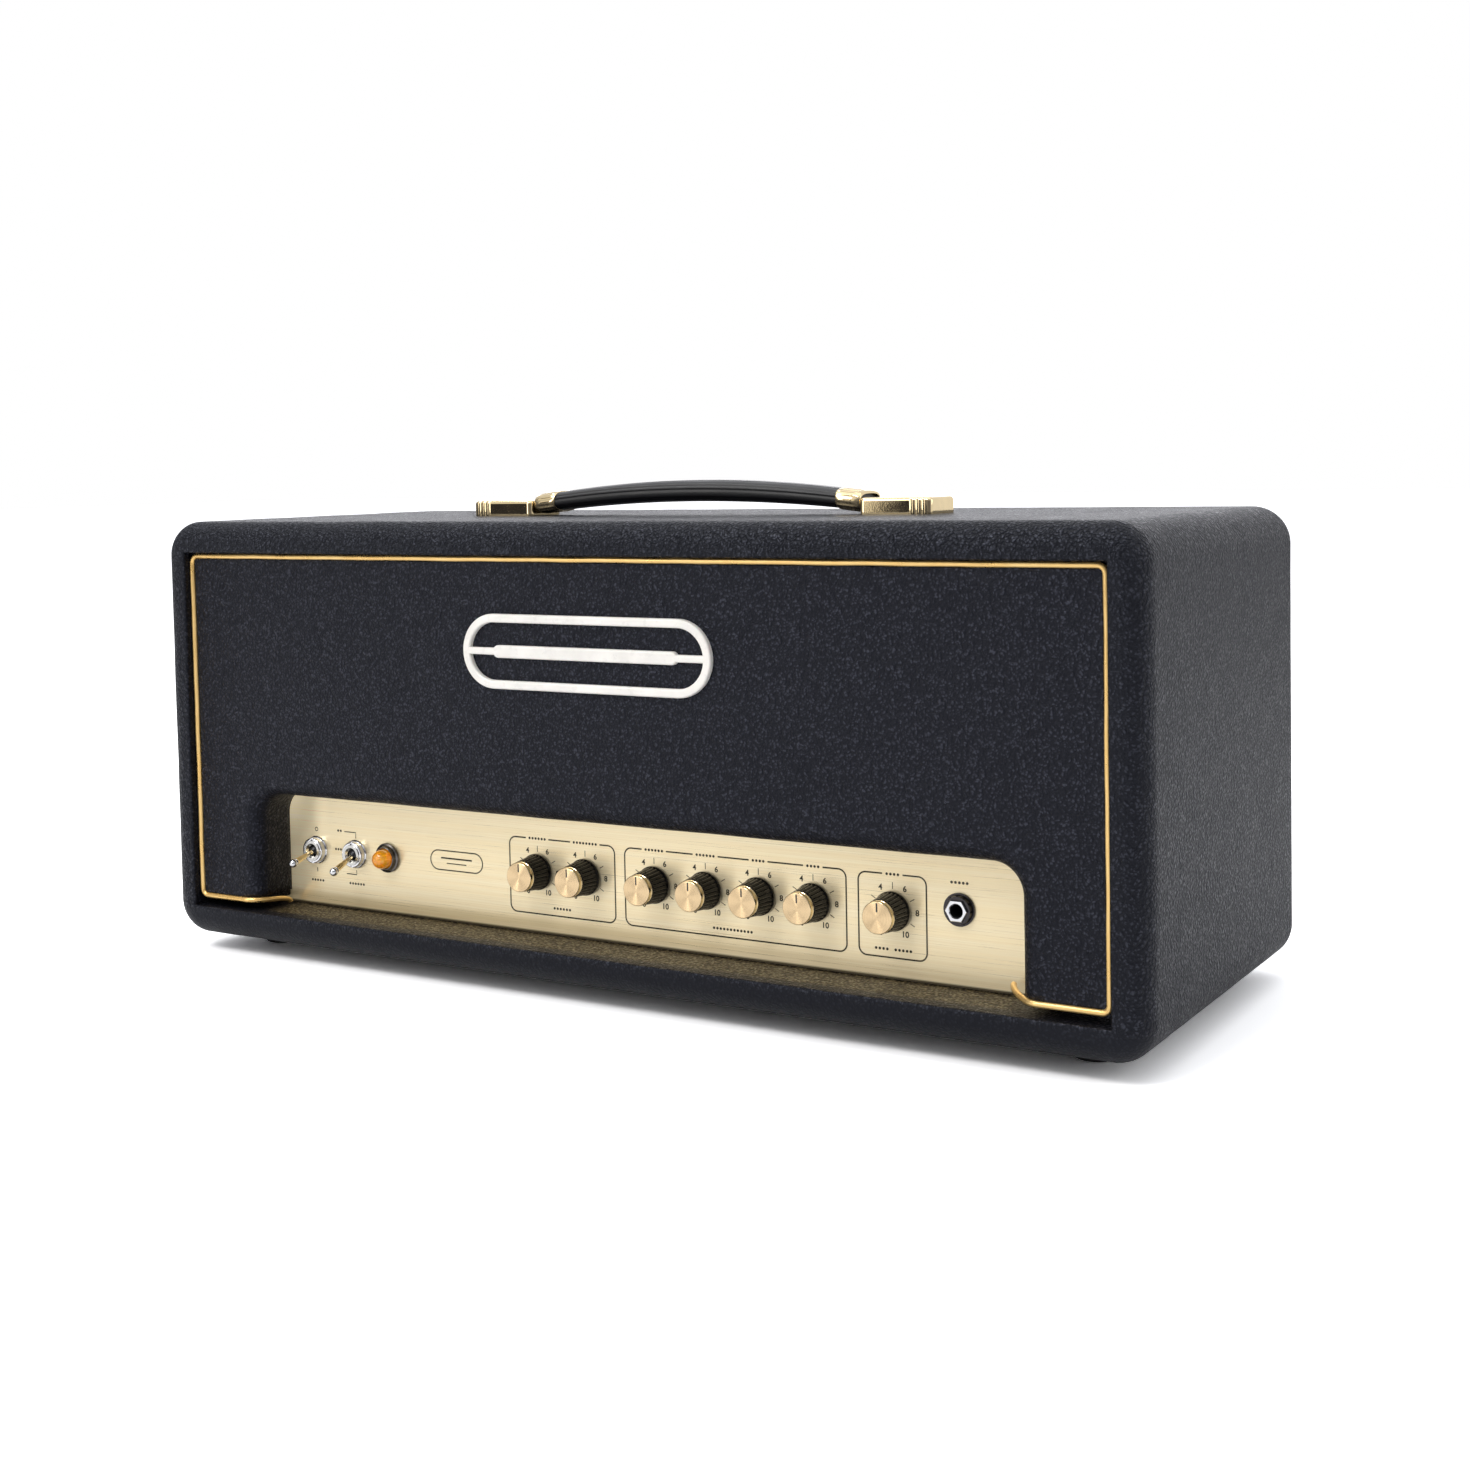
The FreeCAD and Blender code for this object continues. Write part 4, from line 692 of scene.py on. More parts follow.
def lathe(profile, center=None, segments=96, flute=None, pose=None, closed=False):
    """Turns (radius, y) points round the Y axis through center (x, z), or as posed by a matrix.

    flute(radius, y, angle) gives a change of radius. closed joins the profile's ends.
    """
    local, rings, faces = [], [], []
    for radius, y in profile:
        first = len(local)
        if radius <= 1e-6:
            local.append((0.0, y, 0.0))
        else:
            for k in range(segments):
                angle = 2 * PI * k / segments
                reach = radius + (flute(radius, y, angle) if flute else 0.0)
                local.append((reach * math.sin(angle), y, reach * math.cos(angle)))
        rings.append(range(first, len(local)))
    pairs = list(zip(rings, rings[1:]))
    if closed:
        pairs.append((rings[-1], rings[0]))
    for near, far in pairs:
        if len(near) == len(far) == 1:
            continue
        for k in range(segments):
            after = (k + 1) % segments
            corners = ((near, k), (far, k), (far, after), (near, after))
            # a ring that is a single point gives triangles
            faces.append(tuple(dict.fromkeys(ring[j % len(ring)] for ring, j in corners)))
    if pose is not None:
        spots = [pose @ Vector(spot) for spot in local]
    else:
        spots = [Vector((x + center[0], y, z + center[1])) for x, y, z in local]
    return [point(*spot) for spot in spots], faces


def slab(outline, y0, y1):
    """Prism between y0 and y1 over an outline of (x, z) points."""
    size = len(outline)
    verts = [point(x, y, z) for y in (y0, y1) for x, z in outline]
    faces = [tuple(range(size)), tuple(range(2 * size - 1, size - 1, -1))]
    return verts, faces + quads(2, size)


# ------------------------------------------------------------------ coverings
def sway_wave(i):
    direction = Vector((math.cos(i * 2.4) * math.sin(1 + i * 0.7), math.sin(i * 2.4),
                        math.cos(1 + i * 0.7)))
    wavelength = 0.060 - 0.005 * i
    return direction.normalized() * (2 * PI / wavelength), i * 1.7


SWAY_WAVES = [sway_wave(i) for i in range(8)]


def sway(spot, amount):
    """A slow, uneven in-and-out of the covering, in metres."""
    return amount * sum(math.sin(wave.dot(spot) + phase) for wave, phase in SWAY_WAVES) / 3.0


def cabinet_ring(inset):
    """The cabinet's outline set in by inset, with the same number of points at every inset."""
    if inset <= 13.5:
        radius = 20.0 - inset
    else:
        radius = 6.5 - (inset - 13.5) * (6.2 / 4.5)
    half = HALF_WIDTH - inset
    counts = side_counts(2 * HALF_WIDTH, HEIGHT, radius=20.0, step=3.6)
    return rounded_rect(-half, half, inset, HEIGHT - inset, max(radius, 0.3), 14, counts)


def cabinet_profile():
    """(inset, y, share of sway): from the inside of the front, over the outside, and back."""
    front, back = 13.5, 12.5           # radii of the front and back edges
    back_y = 227.5                     # where the back edge's curve begins
    rows = [(18.0, 60.0 - 58.5 * i / 12, 0.0) for i in range(12)]
    rows += [(18.0, 1.5, 0.0)] + [(*spot, 0.3) for spot in arc(16.5, 1.5, 1.5, 0, -90, 4)[1:]]
    rows += [(15.5, 0.0, 0.5), (14.5, 0.0, 0.7)]
    rows += [(*spot, 1.0) for spot in arc(front, front, front, -90, -180, 12)]
    rows += [(0.0, front + (back_y - front) * i / 60, 1.0) for i in range(1, 60)]
    rows += [(*spot, 1.0) for spot in arc(back, back_y, back, 180, 90, 12)]
    rows += [(14.5, 240.0, 0.7), (16.2, 240.0, 0.5), (17.3, 239.8, 0.3), (17.8, 239.3, 0.3)]
    rows += [(18.0, y, 0.0) for y in (238.4, 230.0, 222.0, 214.0)]
    # the underside of the covering, (inset, y)
    under = [(17.0, 214.0), (17.0, 226.0), (16.9, 239.0), (13.5, 239.0), (6.0, 237.0),
             (2.6, 233.2), (1.0, 227.0), (1.0, 120.0), (1.0, 13.6), (2.6, 6.9), (7.0, 2.6),
             (13.5, 1.0), (17.0, 2.4), (17.0, 60.0)]
    return rows + [(inset, y, 0.0) for inset, y in under]


def cabinet_cover():
    profile = cabinet_profile()
    verts = []
    for inset, y, share in profile:
        ring = cabinet_ring(inset)
        for (x, z), (inner_x, inner_z) in zip(ring, cabinet_ring(inset + 1.0)):
            spot = point(x, y, z)
            if share:
                # outwards on the sides, turning to face along Y on the front and back
                out = Vector((x - inner_x, 0.0, z - inner_z)).normalized()
                facing = Vector((0, -1 if y < MID_Y else 1, 0))
                out = out * max(0.15, 1 - inset / 13.0) + facing * min(1.0, inset / 13.0)
                spot = spot + out.normalized() * sway(spot, 0.00007 * share)
            verts.append(spot)
    build("covering_cabinet", (verts, quads(len(profile), len(ring), wrap=True)),
          "black_vinyl", replaces="cabinet_covering", angle=50)


def is_inside(x, z, loop):
    """Whether a point lies inside a closed loop, by counting crossings."""
    odd = False
    for (x0, z0), (x1, z1) in zip(loop, loop[-1:] + loop[:-1]):
        if (z0 > z) != (z1 > z) and x < (x1 - x0) * (z - z0) / (z1 - z0) + x0:
            odd = not odd
    return odd


def flat_fill(loops, y, step):
    """Triangles inside loops[0] and outside the other loops, over an even scatter of points."""
    spots, edges = [], []
    for loop in loops:
        base = len(spots)
        spots += [Vector(spot) for spot in loop]
        edges += [(base + i, base + (i + 1) % len(loop)) for i in range(len(loop))]
    xs, zs = zip(*loops[0])
    hole_spots = [spot for loop in loops[1:] for spot in loop[::3]]
    z = min(zs) + step * 0.6
    row = 0
    while z < max(zs) - step * 0.4:
        x = min(xs) + step * (0.6 + 0.5 * (row % 2))
        while x < max(xs) - step * 0.4:
            new_x = x + 0.2 * step * noise.noise(Vector((x, z, 1.0)))
            new_z = z + 0.2 * step * noise.noise(Vector((z, x, 4.0)))
            if all(abs(new_x - hole_x) + abs(new_z - hole_z) > step * 0.6
                   for hole_x, hole_z in hole_spots):
                spots.append(Vector((new_x, new_z)))
            x += step
        z += step * 0.87
        row += 1
    flat, _, cells, _, _, _ = delaunay_2d_cdt(spots, edges, [], 0, 1e-4)
    triangles = []
    for cell in cells:
        x = sum(flat[i].x for i in cell) / 3
        z = sum(flat[i].y for i in cell) / 3
        if is_inside(x, z, loops[0]) and not any(is_inside(x, z, hole) for hole in loops[1:]):
            triangles.append(tuple(cell))
    return [(spot.x, y, spot.y) for spot in flat], triangles


def skin_mesh(name, strips, fills, amount):
    """Joins strips of points and filled regions into one welded surface and lets it sway."""
    bm = bmesh.new()
    for rows in strips:
        made = [[bm.verts.new(point(*spot)) for spot in row] for row in rows]
        for near, far in zip(made, made[1:]):
            for k in range(len(near) - 1):
                bm.faces.new((near[k], near[k + 1], far[k + 1], far[k]))
    for spots, triangles in fills:
        made = [bm.verts.new(point(*spot)) for spot in spots]
        for triangle in triangles:
            bm.faces.new([made[i] for i in triangle])
    bmesh.ops.remove_doubles(bm, verts=bm.verts, dist=4e-6)
    bmesh.ops.dissolve_degenerate(bm, edges=bm.edges, dist=1e-6)
    loose = [vert for vert in bm.verts if not vert.link_faces]
    bmesh.ops.delete(bm, geom=loose, context="VERTS")
    bmesh.ops.recalc_face_normals(bm, faces=bm.faces)
    mesh = bpy.data.meshes.new(name)
    bm.to_mesh(mesh)
    bm.free()
    normals = [vert.normal.copy() for vert in mesh.vertices]
    for vert, normal in zip(mesh.vertices, normals):
        vert.co += normal * sway(vert.co, amount)
    mesh.update()
    return mesh


def opening_edge(offset):
    """The opening's edge set out by offset, from the left foot over the top to the right foot."""
    half, top, radius = OPENING_HALF + offset, OPENING_TOP + offset, OPENING_CORNER + offset
    bend_x, bend_z = half - radius, top - radius
    edge = spaced((-half, BAFFLE_FOOT), (-half, bend_z), 16)
    edge += arc(-bend_x, bend_z, radius, 180, 90, 14)[:-1]
    edge += spaced((-bend_x, top), (bend_x, top), 140)
    edge += arc(bend_x, bend_z, radius, 90, 0, 14)[:-1]
    edge += spaced((half, bend_z), (half, BAFFLE_FOOT), 16)
    return edge + [(half, BAFFLE_FOOT)]


def set_out(x, z, distance):
    """A point of the baffle's outer edge, moved outwards."""
    if z <= BAFFLE_FOOT + 1e-6:
        z -= distance
    if abs(x) >= BAFFLE_HALF - 1e-6:
        x += math.copysign(distance, x)
    if z >= BAFFLE_TOP - 1e-6:
        z += distance
    return x, z


def baffle_cover():
    # (offset, y) from the panel forwards and round the opening's edge to the baffle's face
    lip_y = BAFFLE_Y + LIP_RADIUS
    lip = [(0.0, 33.4 - 17.9 * i / 6) for i in range(7)]
    lip += arc(LIP_RADIUS, lip_y, LIP_RADIUS, 180, 270, 10)[1:]
    strips = [[[(x, y, z) for x, z in opening_edge(offset)] for offset, y in lip]]

    inner = opening_edge(LIP_RADIUS)
    edge = subdivided([inner[0], (-BAFFLE_HALF, BAFFLE_FOOT), (-BAFFLE_HALF, BAFFLE_TOP),
                       (BAFFLE_HALF, BAFFLE_TOP), (BAFFLE_HALF, BAFFLE_FOOT), inner[-1]], 3.2)
    fill = flat_fill([edge[:-1] + inner[:0:-1]], BAFFLE_Y, 4.2)

    # the rebate round the edge that the piping lies in
    rebate_y = 7.2
    rebate = [set_out(x, z, 3.6) for x, z in edge]
    rebate_rows = [(edge, BAFFLE_Y), (edge, rebate_y), (rebate, rebate_y), (rebate, 14.0)]
    strips.append([[(x, y, z) for x, z in row] for row, y in rebate_rows])

    # the foot of each leg below the piping, a plain strip set back under it
    for side in (-1, 1):
        foot = []
        for offset, y in lip:
            x = side * (OPENING_HALF + offset + 1.5)
            foot_y = y + 1.7 if offset > 9.0 else y + 0.2
            foot.append([(x, foot_y, BAFFLE_FOOT), (x, foot_y, 22.0)])
        strips.append(foot)

    mesh = skin_mesh("covering_baffle", strips, [fill], 0.00007)
    piece = add("covering_baffle", mesh, "black_vinyl_front", replaces="baffle_covering",
                angle=50)
    skin = piece.modifiers.new("skin", "SOLIDIFY")
    skin.thickness = 0.0009
    skin.offset = -1.0


def back_cover():
    half, low, high = 283.8, 94.0, 226.8
    inner_y, outer_y, rim = 214.0, 226.0, 2.0
    hole_half, hole_low, hole_high = 150.0, 122.0, 198.0
    hole_mid, hole_rise = 160.0, 38.0  # middle and half height of the hole
    corner, hole_corner, step = 2.6, 8.0, 5.0

    def outer(inset):
        counts = side_counts(2 * half, high - low, corner, step)
        base = rounded_rect(-half, half, low, high, corner, 6, counts)
        return [(max(-half + inset, min(half - inset, x)),
                 max(low + inset, min(high - inset, z))) for x, z in base]

    def hole(growth):
        counts = side_counts(2 * hole_half, hole_high - hole_low, hole_corner, step)
        base = rounded_rect(-hole_half, hole_half, hole_low, hole_high, hole_corner, 8, counts)
        return [(x * (hole_half + growth) / hole_half,
                 hole_mid + (z - hole_mid) * (hole_rise + growth) / hole_rise)
                for x, z in base]

    edge = [(0.0, inner_y), (0.0, 219.0), (0.0, 224.0)]
    edge += arc(rim, outer_y - rim, rim, 180, 90, 5)[1:]
    strips = []
    for outline in (outer, hole):
        rows = [[(x, y, z) for x, z in outline(offset)] for offset, y in edge]
        strips.append([row + row[:1] for row in rows])
    fills = [flat_fill([outer(rim), hole(rim)], outer_y, 6.0),
             flat_fill([outer(0.0), hole(0.0)], inner_y, 30.0)]
    add("covering_back", skin_mesh("covering_back", strips, fills, 0.00006), "black_vinyl",
        replaces="back_panel", angle=50)


cabinet_cover()
baffle_cover()
back_cover()


# ------------------------------------------------------------------ piping
PIPE_HALF, PIPE_TOP, PIPE_FOOT = 282.1, 225.1, 23.7
PIPE_CORNER = 4.0
PIPE_BEND = 10.1                       # radius where the cord turns in round the opening's edge
PIPE_BEND_X = OPENING_HALF + LIP_RADIUS
PIPE_BEND_Y = BAFFLE_Y + LIP_RADIUS
PIPE_Y = PIPE_BEND_Y - PIPE_BEND


def bezier(start, pull_start, pull_end, end, steps):
    curve = []
    for i in range(steps + 1):
        t = i / steps
        curve.append(Vector(start) * (1 - t) ** 3 + Vector(pull_start) * 3 * t * (1 - t) ** 2
                     + Vector(pull_end) * 3 * t * t * (1 - t) + Vector(end) * t ** 3)
    return curve


def bend_point(side, angle):
    """A point of the cord's turn into the opening; angle 0 is flat on the baffle's face."""
    return (side * (PIPE_BEND_X - PIPE_BEND * math.sin(angle)),
            PIPE_BEND_Y - PIPE_BEND * math.cos(angle), PIPE_FOOT)


def piping_path():
    """Out of the opening at the left, clockwise round the baffle seen from the front, and in."""
    # the left tail and turn
    turn = math.radians(55)
    meet = bend_point(-1, turn)
    pull = Vector(meet) + Vector((math.cos(turn), math.sin(turn), 0)) * 7
    path = bezier((-234.5, 28.6, 19.4), (-235.0, 27.8, 22.9), pull + Vector((0, 0, -0.5)),
                  meet, 22)
    path += [bend_point(-1, turn * (1 - i / 14)) for i in range(1, 15)]

    # round the baffle: corner centre, start and end angles, steps in the run before it
    right, high, low = PIPE_HALF - PIPE_CORNER, PIPE_TOP - PIPE_CORNER, PIPE_FOOT + PIPE_CORNER
    corners = [(-right, low, -90, -180, 26), (-right, high, 180, 90, 100),
               (right, high, 90, 0, 260), (right, low, 0, -90, 100)]
    for x, z, start, end, steps in corners:
        corner = [(x, PIPE_Y, z) for x, z in arc(x, z, PIPE_CORNER, start, end)]
        path += spaced(path[-1], corner[0], steps)[1:] + corner
    face_end = bend_point(1, 0.0)
    path += spaced(path[-1], face_end, 26)[1:] + [face_end]

    # the right turn and tail
    turn = math.radians(40)
    path += [bend_point(1, turn * i / 12) for i in range(1, 13)]
    meet = Vector(path[-1])
    pull = meet + Vector((-math.cos(turn), math.sin(turn), 0)) * 6 + Vector((0, 0, 0.2))
    path += bezier(meet, pull, (228.6, 20.0, PIPE_FOOT + 0.9), (226.6, 27.0, PIPE_FOOT + 1.6),
                   20)[1:]
    return [Vector(spot) for spot in path]


def wobble(spot):
    """A hand-laid cord is never quite straight."""
    return spot + Vector((noise.noise(spot / 23.0) * 0.22,
                          noise.noise(spot / 19.0 + Vector((5, 5, 5))) * 0.10,
                          noise.noise(spot / 21.0 + Vector((2, 8, 1))) * 0.22))


def piping():
    segments = 22
    path = [wobble(spot) for spot in piping_path()]
    verts = []
    across = Vector((0, -1, 0.02)).normalized()
    for i, spot in enumerate(path):
        along = (path[min(i + 1, len(path) - 1)] - path[max(i - 1, 0)]).normalized()
        # carry the last section's direction on, so the tube doesn't twist
        across = across - along * across.dot(along)
        across.normalize()
        upright = along.cross(across)
        radius = 1.58 + 0.05 * noise.noise(spot / 9.0)
        for k in range(segments):
            angle = 2 * PI * k / segments
            verts.append(point(*(spot + across * (radius * math.cos(angle))
                                 + upright * (radius * math.sin(angle)))))
    faces = quads(len(path), segments) + ends(len(path), segments)
    build("piping_cord", (verts, faces), "gold_piping", replaces="piping", angle=60)


piping()


# ------------------------------------------------------------------ knobs
KNOB_FLUTES = 26
FLUTE_FRONT, FLUTE_BACK = 19.3, 31.2   # y range of the flutes

# (radius, y) from the front face over the fluted skirt to the hollow underside
KNOB_PROFILE = [(0.0, 19.2), (7.6, 19.2), (8.1, 19.24), (8.34, 19.44), (8.48, 19.8)]
KNOB_PROFILE += [(8.48 + (9.5 - 8.48) * i / 14, 19.8 + (30.75 - 19.8) * i / 14)
                 for i in range(1, 15)]
KNOB_PROFILE += [(9.6, 31.05), (9.8, 31.3), (9.93, 31.6), (9.95, 31.9), (9.95, 32.5),
                 (9.85, 32.74), (9.6, 32.8), (6.6, 32.8), (6.6, 29.4), (3.05, 29.4),
                 (3.05, 20.6), (0.0, 20.6)]
SHAFT_PROFILE = [(0.0, 20.9), (2.9, 20.9), (2.9, 45.2), (0.0, 45.2)]
CAP_PROFILE = [(0.0, 16.08), (1.0, 16.08), (4.0, 16.05), (7.3, 16.02), (7.62, 16.03),
               (7.86, 16.12), (8.03, 16.3), (8.1, 16.55), (8.1, 18.3), (7.93, 18.42),
               (7.93, 18.62), (8.1, 18.74), (8.12, 19.1), (0.0, 19.1)]


def knob_flute(radius, y, angle):
    if y < FLUTE_FRONT or y > FLUTE_BACK or radius < 8:
        return 0.0
    fade = min(1.0, (y - FLUTE_FRONT) / 1.1) * min(1.0, (FLUTE_BACK - y) / 1.2)
    return -0.72 * (1 - abs(math.sin(KNOB_FLUTES * angle / 2)) ** 0.8) * fade


def knob(name, x):
    body = "knob_" + name
    center = (x, KNOB_Z)
    build(body + "_body", lathe(KNOB_PROFILE, center, 12 * KNOB_FLUTES, knob_flute),
          "black_knob_plastic", replaces=body, body=body, angle=50)
    build("shaft_" + name, lathe(SHAFT_PROFILE, center, 40), "nickel_plate", body=body,
          angle=30)
    cap = build("knobcap_%s_gold" % name, lathe(CAP_PROFILE, center, 128), "gold_spun",
                replaces="knobcap_" + name, body=body, angle=40)
    paint_faces(cap, "gold_polished", lambda face: abs(face.normal.y) < 0.9)
    left, right, low, high = x - 0.42, x + 0.42, KNOB_Z + 2.9, KNOB_Z + 7.3
    pointer = slab([(left, low), (right, low), (right, high), (left, high)], 15.97, 16.4)
    build("pointer_" + name, pointer, "black_moulded_plastic", body=body, bevel=0.05)


for knob_name, knob_x, _ in KNOBS:
    knob(knob_name, knob_x)


# ------------------------------------------------------------------ switches
def lever(name, x, tilt):
    """A bat lever on a ball pivot, tilted down by tilt degrees."""
    length = 18.9
    pivot = (x, 32.0, SWITCH_Z)
    # (radius, y) along the lever's own axis, from inside the bush to the round tip
    profile = [(0.0, 3.1)] + arc(0.0, 0.0, 3.05, 90, 0, 8)[1:]
    profile += [(2.9, -1.0), (2.3, -2.0), (1.55, -2.6), (1.3, -3.2), (1.28, -5.0)]
    for i in range(1, 11):
        t = i / 10
        profile.append((1.28 + 0.58 * t ** 1.1, -5.0 - (length - 7.2) * t))
    profile += [(1.98, -length + 1.9)] + arc(0.0, -length, 2.45, 50, -90, 14)
    pose = Matrix.Translation(pivot) @ Matrix.Rotation(math.radians(tilt), 4, "X")
    piece = build(name + "_chrome", lathe(profile, segments=56, pose=pose), "chrome_plate",
                  replaces=name, body=name, angle=50)
    middle = point(*pivot)
    pivot_reach, stem_reach = 0.0042, 0.0166      # metres from the pivot's middle
    # the ball round the pivot is given the dark steel finish, so it reads darker; the stem beyond
    # it wears chrome with the panel's gold painted on as a reflection
    paint_faces(piece, "black_oxide_steel",
                lambda face: (face.center - middle).length < pivot_reach)
    paint_faces(piece, "chrome_painted_gold_reflection",
                lambda face: pivot_reach <= (face.center - middle).length < stem_reach)


lever("lever_power", POWER_X, 14.0)
lever("lever_output", OUTPUT_X, 21.5)
show("switch_bodies", "nickel_plate", bevel=0.15)
show("control_nuts", "chrome_plate", bevel=0.18, segments=3)

# ------------------------------------------------------------------ lamp
# (radius, y) round each closed section
BEZEL_PROFILE = [(5.98, 30.2), (5.98, 29.75), (6.12, 29.6), (6.45, 29.6), (6.62, 29.72),
                 (6.72, 30.1), (7.15, 31.3), (7.4, 31.75), (7.9, 31.9), (8.35, 32.05),
                 (8.5, 32.3), (8.5, 33.3), (8.3, 33.56), (6.5, 33.56), (6.5, 44.0),
                 (6.0, 44.0)]
LENS_PROFILE = [(5.7, 35.5), (5.7, 30.3), (5.55, 29.6), (5.5, 28.0)]
LENS_PROFILE += [(5.5 * math.cos(PI / 2 * i / 16), 28.0 - 5.8 * math.sin(PI / 2 * i / 16))
                 for i in range(1, 17)]
LENS_PROFILE += [(0.0, 28.9), (1.5, 29.1), (3.0, 31.0), (3.0, 35.5)]

build("lamp_bezel_ring", lathe(BEZEL_PROFILE, (LAMP_X, LAMP_Z), closed=True), "dark_chrome",
      replaces="lamp_bezel", angle=40)
build("lamp_lens_amber", lathe(LENS_PROFILE, (LAMP_X, LAMP_Z), closed=True), "amber_lens",
      replaces="lamp_lens", angle=40)
dress("lamp_led", "lamp_glow")


# ------------------------------------------------------------------ input jack
def hexagon(radius, y, angle):
    """Pushes the collar's outer wall out from its inscribed circle to a hexagon."""
    if radius < 4.0:
        return 0.0
    bearing = (angle + PI / 6) % (PI / 3) - PI / 6
    return radius / math.cos(bearing) - radius


show("jack_nuts", "black_nickel", bevel=0.2, segments=3)
show("jack_sockets", "black_moulded_plastic", bevel=0.12)
# a bright hexagonal collar sits in the mouth of the input jack's nut
COLLAR_FLAT = 5.15                     # from the axis to each flat
COLLAR_PROFILE = [(COLLAR_FLAT, 30.6), (COLLAR_FLAT, 29.35), (COLLAR_FLAT * 0.93, 28.95),
                  (3.75, 28.95), (3.4, 29.3), (3.4, 30.6)]
build("jack_collar_chrome", lathe(COLLAR_PROFILE, (JACK_X, JACK_Z), 48, hexagon, closed=True),
      "chrome_plate")


# ------------------------------------------------------------------ handle
ARCH_MID, ARCH_END, ARCH_X = HEIGHT + 13.4, HEIGHT + 8.2, 94.0
ARCH_RISE = ARCH_MID - ARCH_END
ARCH_RADIUS = (ARCH_X ** 2 + ARCH_RISE ** 2) / (2 * ARCH_RISE)
SECTION_POINTS = 144
SIDE_GROOVES = [(0.52, 0.50, 0.085), (0.14, 0.42, 0.085), (-0.62, 0.32, 0.09)]
# SIDE_GROOVES: (height as a share of the half height, depth, width as a share)

# ferrule stations: x, and how far the surface stands out as a share of the wall
FERRULE_STATIONS = [(92.5, 0.2), (92.55, 0.55), (92.75, 0.85), (93.1, 1.0), (94, 1.0),
                    (96, 1.0), (98, 1.0), (100, 1.0), (102, 1.0), (104, 1.0), (105.6, 0.9),
                    (106.5, 0.6), (107.0, 0.2), (107.3, -0.3), (107.4, -0.9)]
FERRULE_WALL = 0.5


def arch(x):
    """Height of the strap's middle: an arc that runs on straight past its ends."""
    reach = abs(x)
    if reach <= ARCH_X:
        return ARCH_MID - (ARCH_RADIUS - math.sqrt(ARCH_RADIUS ** 2 - reach ** 2))
    return ARCH_END - (reach - ARCH_X) * ARCH_X / math.sqrt(ARCH_RADIUS ** 2 - ARCH_X ** 2)


def strap_half(x):
    return 6.1 - 0.7 * min(1.0, abs(x) / ARCH_X) ** 2


def section(half_width, half_height, grooved=False, ribs=0.0, offset=0.0):
    """(y, z) points of a squarish oval, moved along its normals by grooves, ribs and offset."""
    power = 2 / 2.9
    outline = []
    for k in range(SECTION_POINTS):
        angle = 2 * PI * k / SECTION_POINTS
        cos, sin = math.cos(angle), math.sin(angle)
        y = half_width * math.copysign(abs(cos) ** power, cos)
        z = half_height * math.copysign(abs(sin) ** power, sin)
        depth = 0.0
        if grooved and abs(y) > half_width * 0.55:
            for level, deep, width in SIDE_GROOVES:
                depth += deep * math.exp(-((z / half_height - level) / width) ** 2)
        if grooved and z > 0 and abs(y) < half_width * 0.8:
            for level in (-0.5, 0.5):
                depth += 0.35 * math.exp(-((y / half_width - level) / 0.05) ** 2)
        depth -= ribs * (0.5 + 0.5 * math.cos(18 * angle)) ** 1.5
        normal_y, normal_z = y / half_width ** 2, z / half_height ** 2
        length = math.hypot(normal_y, normal_z)
        out = offset - depth
        outline.append((y + normal_y / length * out, z + normal_z / length * out))
    return outline


def along_arch(stations):
    """Points of (x, section) stations, centred on the arch."""
    return [point(x, MID_Y + y, arch(x) + z) for x, outline in stations for y, z in outline]


def strap():
    stations = []
    for i in range(141):
        x = -105.5 + 211.0 * i / 140
        stations.append((x, section(12.35, strap_half(x) - 0.05, grooved=True)))
    rings = len(stations)
    faces = quads(rings, SECTION_POINTS) + ends(rings, SECTION_POINTS)
    build("handle_strap_moulded", (along_arch(stations), faces), "strap_vinyl",
          replaces="handle_strap", body="handle", angle=60)


def ferrule(side):
    half_width = 12.5
    stations = []
    for x, share in FERRULE_STATIONS:
        ribs = 0.34 * max(0.0, min(1.0, (x - 93.0) / 1.2, (105.4 - x) / 1.4))
        outline = section(half_width, strap_half(x), ribs=ribs, offset=FERRULE_WALL * share)
        stations.append((side * x, outline))
    # the way back along the inside
    for x, offset in ((107.4, -1.2), (100.0, 0.02), (92.5, 0.02)):
        stations.append((side * x, section(half_width, strap_half(x), offset=offset)))
    return along_arch(stations), quads(len(stations), SECTION_POINTS, wrap=True)


def handle_cap(side):
    """A rounded block over the strap's end, with three pressed ribs near its outer end."""
    x0, x1, half_width, corner, step = 108.0, 150.0, 15.0, 2.5, 0.35
    middle, half_length = (x0 + x1) / 2, (x1 - x0) / 2
    # (height above the cabinet, how far the outline moves out)
    levels = [(0.05, 0.0), (0.3, 0.0), (6.9, 0.0), (7.6, -0.10), (8.25, -0.42), (8.7, -0.9),
              (8.95, -1.5), (9.0, -2.2)]
    counts = side_counts(x1 - x0, 2 * half_width, corner, step)
    outline = rounded_rect(x0, x1, -half_width, half_width, corner, 10, counts, first=1)
    rows = []
    for height, growth in levels:
        row = []
        for plan_x, plan_y in outline:
            x = middle + (plan_x - middle) * (half_length + growth) / half_length
            y = plan_y * (half_width + growth) / half_width
            if abs(plan_y) > half_width - 3.0 and height > 0.2:
                ribs = sum(math.exp(-((plan_x - rib_x) / 0.75) ** 2)
                           for rib_x in (139.5, 143.0, 146.5))
                y += math.copysign(0.32 * ribs * (1.0 if height < 8.6 else 0.5), plan_y)
            row.append((x, y, height))
        rows.append(row)
    # the top face closes in on the middle line, carrying the ribs over it
    brim, closing = rows[-1], 10
    for j in range(1, closing + 1):
        rows.append([(x, y * (1 - j / closing), z) for x, y, z in brim])
    verts = [point(side * x, MID_Y + y, HEIGHT + z) for row in rows for x, y, z in row]
    size = len(outline)
    return verts, quads(len(rows), size) + [tuple(range(size))]


